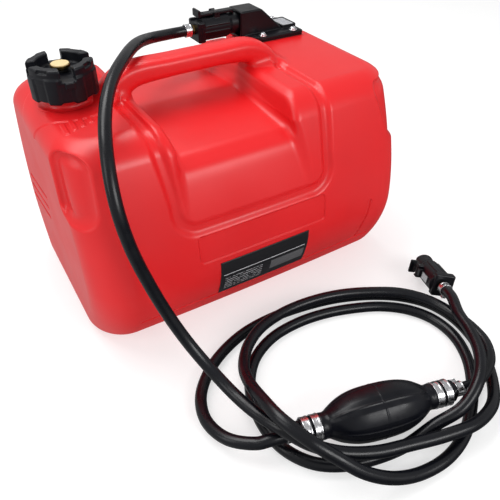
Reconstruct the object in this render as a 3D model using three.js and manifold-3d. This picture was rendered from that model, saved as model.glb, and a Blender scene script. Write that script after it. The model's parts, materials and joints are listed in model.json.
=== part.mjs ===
// Portable outboard fuel tank with its fuel line.
// A blow-moulded tank carries a vented filler cap and a withdrawal fitting with a fuel gauge.
// A quick connector joins a rubber hose to the fitting; a primer bulb sits half way along the
// hose, and a second quick connector ends it, lying on the ground in front of the tank.
// Millimetres, +Z up, front face towards -Y, origin on the ground under the middle of the tank.
import * as THREE from 'three';
import { mergeVertices } from 'three/addons/utils/BufferGeometryUtils.js';
import Module from 'manifold-3d';

// Clearances shared by all pieces
const seatGap = 0.3;
const slideGap = 0.4;
const overrun = 30;
const weld = 0.001;

// Tank shell
const tankLength = 360;
const deckLength = 352;
const tankHeight = 216;
const bellyHeight = 80;
const baseWidth = 204;
const bellyWidth = 268;
const deckWidth = 196;
const bulgePower = 1.8;
const sideBow = 2;
const topRound = 18;
const bottomRound = 19;
const cornerRound = 38;
const wall = 3.2;
const cornerSteps = 3;
const roundSteps = 3;
const sideSteps = 9;
const bowShares = [-0.6, 0, 0.6];

// Feet of the carry handle, measured in from the tank's ends
const handleLeftInset = 72;
const handleRightInset = 98;
const handleSpan = tankLength - handleLeftInset - handleRightInset;
const handleMiddle = (handleLeftInset - handleRightInset) / 2;

// Hand scoop between the handle's feet, cut through from front to back
const scoopLeftMargin = 21.5;
const scoopRightMargin = 34.5;
const scoopEndDraw = 15;
const scoopFrontSpread = 4;
const scoopMiddle = handleMiddle + (scoopLeftMargin - scoopRightMargin) / 2;
const scoopDeckLength = handleSpan - scoopLeftMargin - scoopRightMargin;
const scoopFloorLength = scoopDeckLength - scoopEndDraw;
const scoopFrontLength = scoopDeckLength + scoopFrontSpread;
const scoopDepth = 20;
const scoopEdgeDepth = 29;
const scoopEdgeInset = 42;
const scoopCrestDepth = 38;
const scoopCrestInset = 27;
const scoopFootDepth = 79;
const scoopFootInset = 7;
const scoopLip = 4;

// Groove that frames the scoop on the front and back faces
const bibLeftInset = 77;
const bibRightInset = 98;
const bibTaper = 11;
const bibMiddle = (bibLeftInset - bibRightInset) / 2;
const bibDeckLength = tankLength - bibLeftInset - bibRightInset;
const bibFaceLength = bibDeckLength - bibTaper;
const bibDepth = 92;
const bibWaistDepth = 56;
const bibCorner = 25;
const bibCornerSteps = 3;
const grooveWidth = 10;
const grooveDepth = 4;

// Shallow pockets round the four upright corners
const pocketDepth = 5;
const pocketTopDepth = 10;
const pocketHeight = 51;
const pocketLeftTop = 27;
const pocketLeftLow = 21;
const pocketRightTop = 42;
const pocketRightLow = 23;
const pocketSideReach = 37;

// Shallow panel and label on the front face
const panelMiddle = -6;
const panelLength = 144;
const panelBottom = 92;
const panelHeight = 29;
const panelDepth = 1.5;
const labelMiddle = -6.5;
const labelLength = 103;
const labelBottom = 40;
const labelHeight = 46;
const labelThickness = 0.5;

// Slanted mark near the front right corner
const markInset = 55;
const markLean = 8;
const markBottom = 42;
const markHeight = 50;
const markWidth = 2.5;
const markDepth = 1.2;

// Slanted bars sunk into the left end and raised ticks on the deck
const barCount = 4;
const barPitch = 16;
const barWidth = 5;
const barHeight = 50;
const barLean = 14;
const barBottom = 97;
const barMiddle = 32;
const barDepth = 1.2;
const tickCount = 4;
const tickPitch = 8;
const tickStep = 3.6;
const tickLength = 21;
const tickWidth = 3.8;
const tickLean = 1;
const tickMiddleX = 36;
const tickMiddleY = -45;
const tickHeight = 0.8;

// Hollow carry handle
const handleRise = 15;
const handleWidth = 28;
const handleThickness = 20;
const handleWall = 3.2;
const handleSides = 12;
const handleRouteShares = [
  [-0.5, -0.9], [-0.465, -0.13], [-0.415, 0.57], [-0.335, 1], [-0.12, 1.05],
  [0.14, 1.07], [0.33, 1.03], [0.41, 0.6], [0.46, -0.1], [0.5, -0.85],
];
const handleDropShares = [1.1, 1.3, 1.6, 1.3, 1, 1, 1.3, 1.6, 1.3, 1.1];
const handleSquareness = 0.7;
const handleFlareShares = [1.25, 1.15, 1.05, 1, 1, 1, 1, 1.05, 1.15, 1.25];

// Filler neck
const neckInset = 43;
const neckShift = 4;
const neckRadius = 21.5;
const neckWall = 2.6;
const neckHeight = 21.9;
const neckSides = 20;
const padRadius = 44;
const padHeight = 0.8;
const threadPitch = 6;
const threadDepth = 1.5;
const threadBase = 2.4;
const threadCrest = 1;
const threadTurns = 1.5;
const threadSteps = 16;
const threadTop = 3;

// Filler cap
const capRadius = 30;
const capHeight = 30;
const capPlate = 3.5;
const capWellDepth = 10;
const capRimOuter = 28.6;
const capRimInner = 20;
const capSkirtTop = 8;
const capRimBevel = 1.2;
const capSides = 24;
const capFlutes = 8;
const fluteShares = [[0.08, 0], [0.45, 0], [0.58, 1], [0.95, 1]];
const capFluteDepth = 1.3;
const capNotchWidth = 12;
const capNotchTurn = -3;
const capNotches = 4;
const capTabWidth = 8;
const capTabHeight = 6;
const capTabProud = 1.4;
const capThreadGap = 0.7;
const capSealThickness = 2;

// Vent screw in the middle of the cap
const ventBore = 4;
const ventShank = 3.6;
const ventShankLength = 12;
const ventRingThickness = 1.4;
const ventShoulder = 6;
const ventShoulderHeight = 1.6;
const ventHead = 8.8;
const ventHeadHeight = 2.6;
const ventDiscRadius = 7.8;
const ventDiscThickness = 1.4;
const ventDiscSink = 1.1;
const ventSides = 18;

// Withdrawal fitting on the deck
const plateInset = 64;
const plateMiddleX = tankLength / 2 - plateInset;
const plateMiddleY = 69;
const plateLength = 72;
const plateWidth = 55;
const plateThickness = 4;
const plateChamferX = 16;
const plateChamferY = 12;
const plateSealThickness = 1.5;
const plateSealInset = 1;
const seatMargin = 1.5;
const legHoleRadius = 7;
const gaugeHoleRadius = 11;
const screwShift = 4;
const screwSpacingX = 41;
const screwSpacingY = 45;
const screwRadius = 2;
const screwLength = 14;
const screwHeadRadius = 3.4;
const screwHeadHeight = 2.8;
const screwWasherRadius = 4.8;
const screwWasherThickness = 0.9;
const screwRecess = 1.2;
const screwSides = 6;
const screwHeadSides = 10;
const screwHeadBevel = 0.9;
const screwHoleSides = 8;
const holeSides = 14;

// Hood over the tank nipple
const hoodLength = 55;
const hoodTopLength = 27;
const hoodOverhang = 4;
const hoodWidth = 28;
const hoodHeight = 26.6;
const hoodWall = 2.2;
const hoodToe = 2;

// Nipple, pickup tube and strainer
const axisHeight = 12.9;
const nippleRadius = 5.2;
const nippleBore = 2.8;
const nippleFlange = 8;
const nippleFlangeThickness = 3;
const nippleTip = 1.2;
const legShift = -11;
const mouthGap = 1;
const legRadius = 5;
const nippleSides = 12;
const legBore = 2;
const legBarb = 3.5;
const legBarbLength = 16;
const legDrop = 10;
const tubeRadius = 5.2;
const tubeBore = 3.9;
const tubeLift = 12;
const strainerWall = 1.2;
const strainerHeight = 24;
const strainerLift = 4.2;

// Fuel gauge
const gaugeShift = 18;
const gaugeWindowShift = 7;
const gaugeLength = 16;
const gaugeWidth = 26;
const gaugeFrame = 1.6;
const gaugeFrameHeight = 4.2;
const dialThickness = 0.6;
const pointerThickness = 0.7;
const pointerHub = 2;
const pointerLength = 10;
const pointerWidth = 1.4;
const pointerRest = -40;
const lensThickness = 1.4;
const pointerShift = 3;
const guideSides = 10;
const guideRadius = 1.5;
const guideFoot = 4;
const guideFootThickness = 2;
const guideLift = 6;
const guideHead = 4;
const guideHeadThickness = 1.5;
const floatRadius = 8.5;
const floatHeight = 24;

// Quick connector
const connectorLength = 59;
const barrelRadius = 12.4;
const noseRadius = 11;
const noseLength = 16;
const rearLength = 9;
const rearWidth = 25;
const rearTop = 9.5;
const ribCount = 8;
const ribSpreadShare = 0.72;
const ribHeight = 0.7;
const ribWidth = 1.8;
const ribInset = 4;
const socketRadius = 7.5;
const socketDepth = 28;
const seatRadius = 3.2;
const seatLength = 3;
const chamberRadius = 5.5;
const chamberLength = 16;
const tailBore = 4.8;
const connectorSides = 16;
const leverPivot = 26;
const leverFront = 22;
const leverRear = 23;
const looseLeverPivot = 36;
const looseLeverFront = 8;
const looseLeverRear = 13;
const leverSwing = 12;
const leverWidth = 9;
const leverThickness = 3;
const leverHeight = 14.2;
const leverTab = 6;
const leverTabWidth = 15;
const leverTabThickness = 3;
const leverHook = 2;
const leverHubRadius = 2.6;
const earThickness = 2.5;
const earLength = 7;
const pinSides = 10;
const ringSides = 5;
const pinRadius = 1.2;
const poppetRadius = 4.8;
const poppetThickness = 3.2;
const poppetStem = 1.8;
const poppetReach = 5;
const poppetPressed = 1.5;
const oringInset = 16;
const oringSides = 12;
const barbCollar = 5.3;
const barbCollarLength = 2;
const barbBore = 2;
const barbTail = 3.2;
const barbTailLength = 12;
const barbPlug = 4.5;
const stripStart = 11;
const stripLength = 15;
const stripWidth = 7;
const stripThickness = 1;

// Fuel hose and its clamps
const hoseRadius = 5.5;
const hoseSides = 8;
const hoseStep = 22;
const hoseBore = 3.5;
const gapStepsPerTube = 4;
const clampThickness = 1;
const clampWidth = 7;
const clampInset = 1.5;
const clampEarWidth = 5;
const clampEarHeight = 3;
const clampEarLength = 5;
const clampSides = 16;

// Primer bulb
const bulbRadius = 24;
const bulbLength = 92;
const bulbWall = 3.5;
const bulbNeckRadius = 10.5;
const bulbNeckLength = 24;
const bulbNeckBore = 7.8;
const bulbSides = 14;
const bulbShares = [
  [-1, 0.5], [-0.9, 0.64], [-0.72, 0.8], [-0.48, 0.93], [-0.24, 0.985], [0, 1],
  [0.24, 0.985], [0.48, 0.93], [0.72, 0.8], [0.9, 0.64], [1, 0.5],
];
const plugLength = 18;
const bulbCollar = 9.5;
const bulbCollarLength = 4;
const valveRadius = 5.2;
const valveThickness = 2;
const neckClampWidth = 6.5;
const neckClampGap = 2.4;
const neckClampInset = 1.2;

// Where the loose pieces lie on the ground
const bulbX = -3.5;
const bulbY = -308;
const bulbTurn = -14.4;
const looseX = 157;
const looseY = -229;
const looseZ = 29;
const looseTurn = 62.5;
const loosePitch = 17;
const looseRoll = -80;

// Hose route from the fitting down to the bulb, between its straight ends
const hoseOneRoute = [
  [-8, 66, 236], [-35, 50, 241], [-61, 18, 249], [-86, -18, 252], [-110, -51, 248],
  [-129, -84, 238], [-142, -115, 218], [-148, -138, 188], [-146, -150, 154], [-139, -161, 120],
  [-130, -174, 88], [-120, -190, 61], [-110, -213, 42], [-103, -239, 35], [-97, -264, 36],
  [-89, -288, 40], [-76, -309, 36.5], [-56, -325, 30], [-30, -337, 25], [0, -346, 23.5],
  [31, -355, 23.5], [62, -359.5, 22], [92, -353, 17], [118, -335, 9.1], [138, -310, 6.2],
  [150, -281, 5.8], [153, -252, 5.8], [146, -226, 5.8], [128, -203, 5.8], [101, -184, 5.8],
  [67, -169, 5.8], [30, -160, 5.8], [-8, -156, 5.8], [-47, -159, 5.8], [-82, -171.5, 5.8],
  [-106, -188, 6.4], [-123, -209, 7.9], [-130, -235, 11.6], [-124, -261, 16.5], [-107, -279, 21],
];

// Hose route from the bulb round two loops to the loose connector, between its straight ends
const hoseTwoRoute = [
  [100.5, -330.5, 25.3], [122, -321.5, 25.8], [137.5, -304, 24.5], [144, -281.5, 22.3],
  [143.5, -256, 20.6], [136.5, -231.5, 20.4], [119, -208.5, 20.8], [93, -190.5, 20.3],
  [62, -176, 20], [28, -168, 20], [-6, -167, 20.3], [-37, -174, 21.5], [-62, -190, 24],
  [-79, -212, 29], [-88, -237, 40], [-91.5, -264, 51], [-90.5, -289, 56], [-81, -313, 52],
  [-67, -331, 41.5], [-50, -347, 28], [-28, -358, 16], [-2, -364, 7.9], [27, -365, 5.8],
  [55, -358, 5.8], [82, -342, 5.8], [106, -322, 5.8], [125, -298, 5.8], [135, -271, 5.8],
  [133, -244, 5.8], [120, -221, 5.8], [99, -203, 5.8], [72, -190, 5.8], [40, -180, 5.8],
  [6, -176, 5.8], [-28, -180, 5.8], [-56, -194, 5.8], [-75, -216, 5.8], [-85, -242, 5.8],
  [-88, -267, 5.8], [-84, -290, 5.8], [-71, -311, 5.8], [-50, -325.5, 5.8], [-24, -334, 5.8],
  [5, -339, 7], [34, -341, 17], [60, -345, 29], [84, -337, 39.5], [106, -319, 41.5],
  [122, -295, 40], [133, -270, 38],
];

const wasm = await Module();
wasm.setup();

// Turns a closed geometry the right way out, with only positions left
function closed(geometry) {
  const bare = geometry.index ? geometry.toNonIndexed() : geometry.clone();
  bare.deleteAttribute('normal');
  bare.deleteAttribute('uv');
  const merged = mergeVertices(bare, weld);
  const at = merged.attributes.position;
  const index = Array.from(merged.index.array);
  const corners = [new THREE.Vector3(), new THREE.Vector3(), new THREE.Vector3()];
  const kept = [];
  let volume = 0;
  for (let i = 0; i < index.length; i += 3) {
    const [a, b, c] = index.slice(i, i + 3);
    if (a === b || b === c || c === a) continue;
    [a, b, c].forEach((n, k) => corners[k].fromBufferAttribute(at, n));
    volume += corners[0].dot(corners[1].clone().cross(corners[2]));
    kept.push([a, b, c]);
  }
  const faces = volume < 0 ? kept.map(([a, b, c]) => [a, c, b]) : kept;
  merged.setIndex(faces.flat());
  return merged;
}

function solid(geometry) {
  const bare = closed(geometry);
  return new wasm.Manifold(new wasm.Mesh({
    numProp: 3,
    vertProperties: Float32Array.from(bare.attributes.position.array),
    triVerts: Uint32Array.from(bare.index.array),
  }));
}

function shapeOf(body) {
  const mesh = body.getMesh();
  const geometry = new THREE.BufferGeometry();
  geometry.setAttribute('position', new THREE.BufferAttribute(Float32Array.from(mesh.vertProperties), 3));
  geometry.setIndex(Array.from(mesh.triVerts));
  return geometry;
}

const join = (first, ...rest) => rest.reduce((sum, next) => sum.add(next), first);
const cut = (first, ...rest) => rest.reduce((left, next) => left.subtract(next), first);

// A box between two opposite corners
function block(from, to) {
  const size = to.map((value, k) => value - from[k]);
  const middle = to.map((value, k) => (value + from[k]) / 2);
  return solid(new THREE.BoxGeometry(...size).translate(...middle));
}

// A closed outline pushed along Z between two heights
function prism(outline, low, high) {
  const shape = new THREE.Shape(outline.map(([x, y]) => new THREE.Vector2(x, y)));
  return new THREE.ExtrudeGeometry(shape, { depth: high - low, bevelEnabled: false })
    .translate(0, 0, low);
}

const upright = (outline, low, high) => solid(prism(outline, low, high));

// An outline in X and Z pushed along Y
function along(outline, back, front) {
  return solid(prism(outline, back, front).rotateX(Math.PI / 2).scale(1, -1, 1));
}

// An outline in Y and Z pushed along X
function across(outline, left, right) {
  return solid(prism(outline, left, right).rotateX(Math.PI / 2).rotateZ(Math.PI / 2));
}

// A profile of radius and height turned round Z; it starts and ends on the axis or closes
function turned(profile, sides) {
  const points = profile.map(([radius, height]) => new THREE.Vector2(radius, height));
  return new THREE.LatheGeometry(points, sides).rotateX(Math.PI / 2);
}

const spun = (profile, sides) => solid(turned(profile, sides));

function rod(radius, low, high, sides) {
  return spun([[0, low], [radius, low], [radius, high], [0, high]], sides);
}

function ring(inner, outer, low, high, sides) {
  return spun([[inner, low], [outer, low], [outer, high], [inner, high], [inner, low]], sides);
}

// Rings of equal count joined by a skin, with flat ends
function loft(rings) {
  const count = rings[0].length;
  const points = rings.flat();
  const faces = [];
  for (let r = 0; r + 1 < rings.length; r += 1) {
    for (let k = 0; k < count; k += 1) {
      const next = (k + 1) % count;
      const [a, b] = [r * count + k, r * count + next];
      faces.push(a, b, b + count, a, b + count, a + count);
    }
  }
  const last = (rings.length - 1) * count;
  for (let k = 1; k + 1 < count; k += 1) {
    faces.push(0, k + 1, k, last, last + k, last + k + 1);
  }
  const geometry = new THREE.BufferGeometry();
  geometry.setAttribute('position', new THREE.Float32BufferAttribute(points.flat(), 3));
  geometry.setIndex(faces);
  return geometry;
}

// Tank outline at one height: half width, half length and the inset of the rounded edges
function halfWidth(z) {
  const above = z > bellyHeight;
  const edge = (above ? deckWidth : baseWidth) / 2;
  const span = above ? tankHeight - bellyHeight : bellyHeight;
  const share = Math.min(1, Math.abs(z - bellyHeight) / span);
  return bellyWidth / 2 - (bellyWidth / 2 - edge) * share ** bulgePower;
}

const halfLength = (z) => (tankLength + (deckLength - tankLength) * (z / tankHeight)) / 2;

function tankRing(z, inset, round) {
  const a = halfLength(z) - inset - round;
  const b = halfWidth(z) - sideBow - inset - round;
  const r = Math.max(cornerRound - inset - round, wall);
  const corner = (sx, sy, start) => Array.from({ length: cornerSteps + 1 }, (_, k) => {
    const angle = (start + k / cornerSteps) * Math.PI / 2;
    return [sx * (a - r) + r * Math.cos(angle), sy * (b - r) + r * Math.sin(angle), z];
  });
  const side = (sx, sy) => bowShares.map((share) => (
    [sx * share * (a - r), sy * (b + sideBow * (1 - share ** 2)), z]));
  return [
    ...corner(1, 1, 0), ...side(-1, 1), ...corner(-1, 1, 1),
    ...corner(-1, -1, 2), ...side(1, -1), ...corner(1, -1, 3),
  ];
}

// The whole tank form, drawn in by an inset
function tankBlock(inset) {
  const low = Math.max(bottomRound - inset, wall);
  const high = Math.max(topRound - inset, wall);
  const from = inset + low;
  const to = tankHeight - inset - high;
  const levels = [];
  for (let k = 0; k <= roundSteps; k += 1) {
    const angle = (1 - k / roundSteps) * Math.PI / 2;
    levels.push([from - low * Math.sin(angle), low * (1 - Math.cos(angle))]);
  }
  for (let k = 1; k < sideSteps; k += 1) levels.push([from + (to - from) * (k / sideSteps), 0]);
  for (let k = 0; k <= roundSteps; k += 1) {
    const angle = (k / roundSteps) * Math.PI / 2;
    levels.push([to + high * Math.sin(angle), high * (1 - Math.cos(angle))]);
  }
  return solid(loft(levels.map(([z, round]) => tankRing(z, inset, round))));
}

// Scoop under the handle, grown by the wall for the inner surface
function scoop(grow) {
  const half = bellyWidth / 2;
  const top = tankHeight + overrun;
  const edge = [half - scoopEdgeInset, tankHeight - scoopEdgeDepth - grow];
  const crest = [half - scoopCrestInset - grow / 2, tankHeight - scoopCrestDepth - grow];
  const foot = [half - scoopFootInset - grow, tankHeight - scoopFootDepth - grow / 2];
  const past = [foot[0] + (foot[0] - crest[0]), foot[1] + (foot[1] - crest[1])];
  const floor = [[0, tankHeight - scoopDepth - grow], edge, crest, foot, past, [past[0], top]];
  const mirrored = floor.slice(1).reverse().map(([y, z]) => [-y, z]);
  const length = scoopFrontLength / 2 + overrun;
  const channel = across([...floor, ...mirrored], scoopMiddle - length, scoopMiddle + length);
  const right = [
    [scoopFrontLength / 2 + grow, past[1] - overrun],
    [scoopFrontLength / 2 + grow, foot[1]],
    [scoopFloorLength / 2 + scoopLip + grow, crest[1]],
    [scoopFloorLength / 2 + grow, tankHeight - scoopDepth],
    [scoopDeckLength / 2 - scoopLip + grow, tankHeight - scoopLip],
    [scoopDeckLength / 2 + grow, tankHeight],
    [scoopDeckLength / 2 + grow, top],
  ];
  const left = right.slice().reverse().map(([x, z]) => [-x, z]);
  const outline = [...right, ...left].map(([x, z]) => [x + scoopMiddle, z]);
  return channel.intersect(along(outline, -half - overrun, half + overrun));
}

// Outline of the framing groove, drawn in by an inset
function bibOutline(inset) {
  const deck = bibDeckLength / 2 - inset;
  const face = bibFaceLength / 2 - inset;
  const low = tankHeight - bibDepth + inset;
  const waist = tankHeight - bibWaistDepth;
  const round = Math.max(bibCorner - inset, grooveWidth);
  const right = [];
  for (let k = 0; k <= bibCornerSteps; k += 1) {
    const angle = (k / bibCornerSteps) * Math.PI / 2;
    right.push([face - round + round * Math.sin(angle), low + round - round * Math.cos(angle)]);
  }
  right.push([face, waist], [deck, tankHeight], [deck, tankHeight + overrun]);
  const left = right.slice().reverse().map(([x, z]) => [-x, z]);
  return [...right, ...left].map(([x, z]) => [x + bibMiddle, z]);
}

function bibGroove(grow) {
  const reach = bellyWidth / 2 + overrun;
  const outer = along(bibOutline(-grow), -reach, reach);
  const inner = along(bibOutline(grooveWidth + grow), -reach, reach);
  return cut(outer, inner, tankBlock(grooveDepth + grow));
}

// Pockets round the upright corners
function pockets(grow) {
  const high = tankHeight - pocketTopDepth + grow;
  const low = tankHeight - pocketTopDepth - pocketHeight - grow;
  const end = tankLength / 2;
  const side = bellyWidth / 2;
  const inner = tankBlock(pocketDepth + grow);
  const piece = (way, top, bottom) => {
    const outline = [
      [way * (end + overrun), low], [way * (end - bottom - grow), low],
      [way * (end - top - grow), high], [way * (end + overrun), high],
    ];
    const near = along(outline, -side - overrun, -side + pocketSideReach + grow);
    const far = along(outline, side - pocketSideReach - grow, side + overrun);
    return near.add(far);
  };
  const left = piece(-1, pocketLeftTop, pocketLeftLow);
  const right = piece(1, pocketRightTop, pocketRightLow);
  return cut(left.add(right), inner);
}

// Shallow marks sunk into the faces
function sunkMarks() {
  const front = -bellyWidth / 2 - overrun;
  const panel = block(
    [panelMiddle - panelLength / 2, front, panelBottom],
    [panelMiddle + panelLength / 2, 0, panelBottom + panelHeight],
  );
  const markX = tankLength / 2 - markInset;
  const mark = along([
    [markX - markLean / 2, markBottom], [markX - markLean / 2 + markWidth, markBottom],
    [markX + markLean / 2 + markWidth, markBottom + markHeight],
    [markX + markLean / 2, markBottom + markHeight],
  ], front, 0);
  const bars = Array.from({ length: barCount }, (_, k) => {
    const y = barMiddle + (k - (barCount - 1) / 2) * barPitch;
    return across([
      [y - barLean / 2, barBottom], [y - barLean / 2 + barWidth, barBottom],
      [y + barLean / 2 + barWidth, barBottom + barHeight], [y + barLean / 2, barBottom + barHeight],
    ], -tankLength / 2 - overrun, -tankLength / 2 + overrun);
  });
  return [
    panel.subtract(tankBlock(panelDepth)),
    mark.subtract(tankBlock(markDepth)),
    join(bars[0], ...bars.slice(1)).subtract(tankBlock(barDepth)),
  ];
}

// Raised ticks on the deck and the pad round the neck
function raisedMarks() {
  const low = tankHeight - wall;
  const high = tankHeight + overrun;
  const ticks = Array.from({ length: tickCount }, (_, k) => {
    const turn = k - (tickCount - 1) / 2;
    const x = -tankLength / 2 + tickMiddleX + turn * tickPitch;
    const front = tickMiddleY + turn * tickStep - tickLength / 2;
    const back = front + tickLength;
    return upright([
      [x - tickLean / 2 - tickWidth / 2, front], [x - tickLean / 2 + tickWidth / 2, front],
      [x + tickLean / 2 + tickWidth / 2, back], [x + tickLean / 2 - tickWidth / 2, back],
    ], low, high);
  });
  const pad = solid(turned([[0, low], [padRadius, low], [padRadius, high], [0, high]], neckSides)
    .translate(neckX, neckShift, 0));
  return [
    join(ticks[0], ...ticks.slice(1)).intersect(tankBlock(-tickHeight)),
    pad.intersect(tankBlock(-padHeight)),
  ];
}

// Handle along its route, drawn in by an inset
function handle(inset) {
  const route = handleRouteShares.map(([x, z]) => (
    [handleMiddle + x * handleSpan, tankHeight + z * handleRise]));
  const rings = route.map(([x, z], n) => {
    const before = route[Math.max(n - 1, 0)];
    const after = route[Math.min(n + 1, route.length - 1)];
    const way = new THREE.Vector2(after[0] - before[0], after[1] - before[1]).normalize();
    const width = (handleWidth * handleFlareShares[n]) / 2 - inset;
    const high = handleThickness / 2 - inset;
    const low = (handleThickness * handleDropShares[n]) / 2 - inset;
    return Array.from({ length: handleSides }, (_, k) => {
      const angle = (k / handleSides) * 2 * Math.PI;
      const [c, s] = [Math.cos(angle), Math.sin(angle)];
      const aside = Math.sign(c) * Math.abs(c) ** handleSquareness * width;
      const up = Math.sign(s) * Math.abs(s) ** handleSquareness * (s > 0 ? high : low);
      return [x - way.y * up, aside, z + way.x * up];
    });
  });
  return solid(loft(rings));
}

// A screw thread ridge on a wall, from its own lowest height up
function threadRidge(wallRadius, way, low) {
  const steps = Math.round(threadTurns * threadSteps);
  const root = wallRadius - way * neckWall / 2;
  const crest = wallRadius + way * threadDepth;
  const rings = Array.from({ length: steps + 1 }, (_, k) => {
    const angle = (k / threadSteps) * 2 * Math.PI;
    const z = low + (k / threadSteps) * threadPitch;
    const at = (radius, dz) => [radius * Math.cos(angle), radius * Math.sin(angle), z + dz];
    return [
      at(root, -threadBase / 2), at(crest, -threadCrest / 2),
      at(crest, threadCrest / 2), at(root, threadBase / 2),
    ];
  });
  return loft(rings);
}

// Heights that one piece takes from the next
const neckX = -tankLength / 2 + neckInset;
const neckTop = tankHeight + neckHeight;
const sealBottom = neckTop + seatGap;
const sealTop = sealBottom + capSealThickness;
const capUnder = sealTop + seatGap;
const capFloor = capUnder + capPlate;
const capTop = capFloor + capWellDepth;
const capBottom = capTop - capHeight;
const capBore = neckRadius + threadDepth + capThreadGap;
const threadLow = neckTop - threadTop - threadTurns * threadPitch;

const plateSealBottom = tankHeight + seatGap;
const plateBottom = plateSealBottom + plateSealThickness + seatGap;
const plateTop = plateBottom + plateThickness;
const plateLeft = plateMiddleX - plateLength / 2;
const plateFront = plateMiddleY - plateWidth / 2;
const hoodLeft = plateLeft - hoodOverhang;
const hoodBack = hoodLeft + hoodTopLength - hoodWall - seatGap;
const axisZ = plateTop + axisHeight;
const legX = hoodBack + legShift;
const connectorX = legX - legRadius - mouthGap - connectorLength;
const seatX = connectorLength - socketDepth - seatLength;
const gaugeX = plateMiddleX + gaugeShift;
const screwPlaces = [[-1, -1], [1, -1], [1, 1], [-1, 1]].map(([sx, sy]) => (
  [plateMiddleX + screwShift + sx * screwSpacingX / 2, plateMiddleY + sy * screwSpacingY / 2]));

// Plate outline with its cut front left corner, grown by a margin
function plateOutline(margin) {
  const [left, front] = [plateLeft - margin, plateFront - margin];
  const [right, back] = [plateLeft + plateLength + margin, plateFront + plateWidth + margin];
  return [
    [left + plateChamferX, front], [right, front], [right, back],
    [left, back], [left, front + plateChamferY],
  ];
}

function screwHoles(low) {
  return screwPlaces.map(([x, y]) => solid(turned([
    [0, low], [screwRadius + seatGap, low], [screwRadius + seatGap, tankHeight + overrun],
    [0, tankHeight + overrun],
  ], screwHoleSides).translate(x, y, 0)));
}

function upHole(x, y, radius, low) {
  const high = tankHeight + overrun;
  return solid(turned([[0, low], [radius, low], [radius, high], [0, high]], holeSides)
    .translate(x, y, 0));
}

// Materials
const plastic = (color, roughness) => new THREE.MeshStandardMaterial({ color, roughness, metalness: 0 });
const metal = (color, roughness) => new THREE.MeshStandardMaterial({ color, roughness, metalness: 1 });
const redPlastic = plastic(0xd81f2a, 0.38);
const blackPlastic = plastic(0x17171a, 0.45);
const blackRubber = plastic(0x101012, 0.6);
const hoseRubber = plastic(0x121214, 0.38);
const stickerBlack = plastic(0x1b1a1d, 0.5);
const brass = metal(0x6b4f24, 0.4);
const steel = metal(0xc9cbd0, 0.28);
const creamPlastic = plastic(0xe9e0c8, 0.5);
const dialWhite = plastic(0xdddde2, 0.5);
const clearPlastic = plastic(0xe6e8ee, 0.15);
const needleRed = plastic(0xc01818, 0.5);
const strainerGrey = plastic(0xb9bbb5, 0.6);

const fuelTank = new THREE.Group();

function piece(name, body, material, parent = fuelTank) {
  const mesh = new THREE.Mesh(shapeOf(body), material);
  mesh.name = name;
  parent.add(mesh);
  return mesh;
}

// Tank shell with its hollow handle, neck and openings
const seatPad = upright(plateOutline(seatMargin), tankHeight - topRound, tankHeight);
const neckTube = solid(turned([
  [0, tankHeight - wall], [neckRadius, tankHeight - wall], [neckRadius, neckTop], [0, neckTop],
], neckSides).translate(neckX, neckShift, 0));
const neckThread = solid(threadRidge(neckRadius, 1, threadLow).translate(neckX, neckShift, 0));
const neckBore = solid(turned([
  [0, tankHeight - topRound], [neckRadius - neckWall, tankHeight - topRound],
  [neckRadius - neckWall, neckTop + overrun], [0, neckTop + overrun],
], neckSides).translate(neckX, neckShift, 0));
const outerTank = join(
  cut(tankBlock(0), scoop(0), bibGroove(0), pockets(0), ...sunkMarks()),
  handle(0), seatPad, neckTube, neckThread, ...raisedMarks(),
);
const innerTank = join(
  cut(tankBlock(wall), scoop(wall), bibGroove(wall), pockets(wall)),
  handle(handleWall),
);
piece('tank_body', cut(
  outerTank, innerTank, neckBore,
  ...screwHoles(tankHeight - screwLength),
  upHole(legX, plateMiddleY, legHoleRadius, tankHeight - topRound),
  upHole(gaugeX, plateMiddleY, gaugeHoleRadius, tankHeight - topRound),
), redPlastic);

// Sticker on the front face, following its curve
const labelField = block(
  [labelMiddle - labelLength / 2, -bellyWidth / 2 - overrun, labelBottom],
  [labelMiddle + labelLength / 2, 0, labelBottom + labelHeight],
);
piece('tank_label', labelField.intersect(
  cut(tankBlock(-seatGap - labelThickness), tankBlock(-seatGap)),
), stickerBlack);

// Filler cap: fluted skirt, raised rim with four notches and a round well
const capGroup = new THREE.Group();
capGroup.position.set(neckX, neckShift, 0);
fuelTank.add(capGroup);

function fluted(radius, depth, count) {
  return Array.from({ length: count * fluteShares.length }, (_, k) => {
    const [turn, share] = fluteShares[k % fluteShares.length];
    const angle = ((Math.floor(k / fluteShares.length) + turn) / count) * 2 * Math.PI;
    const r = radius - depth * share;
    return [r * Math.cos(angle), r * Math.sin(angle)];
  });
}

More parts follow.
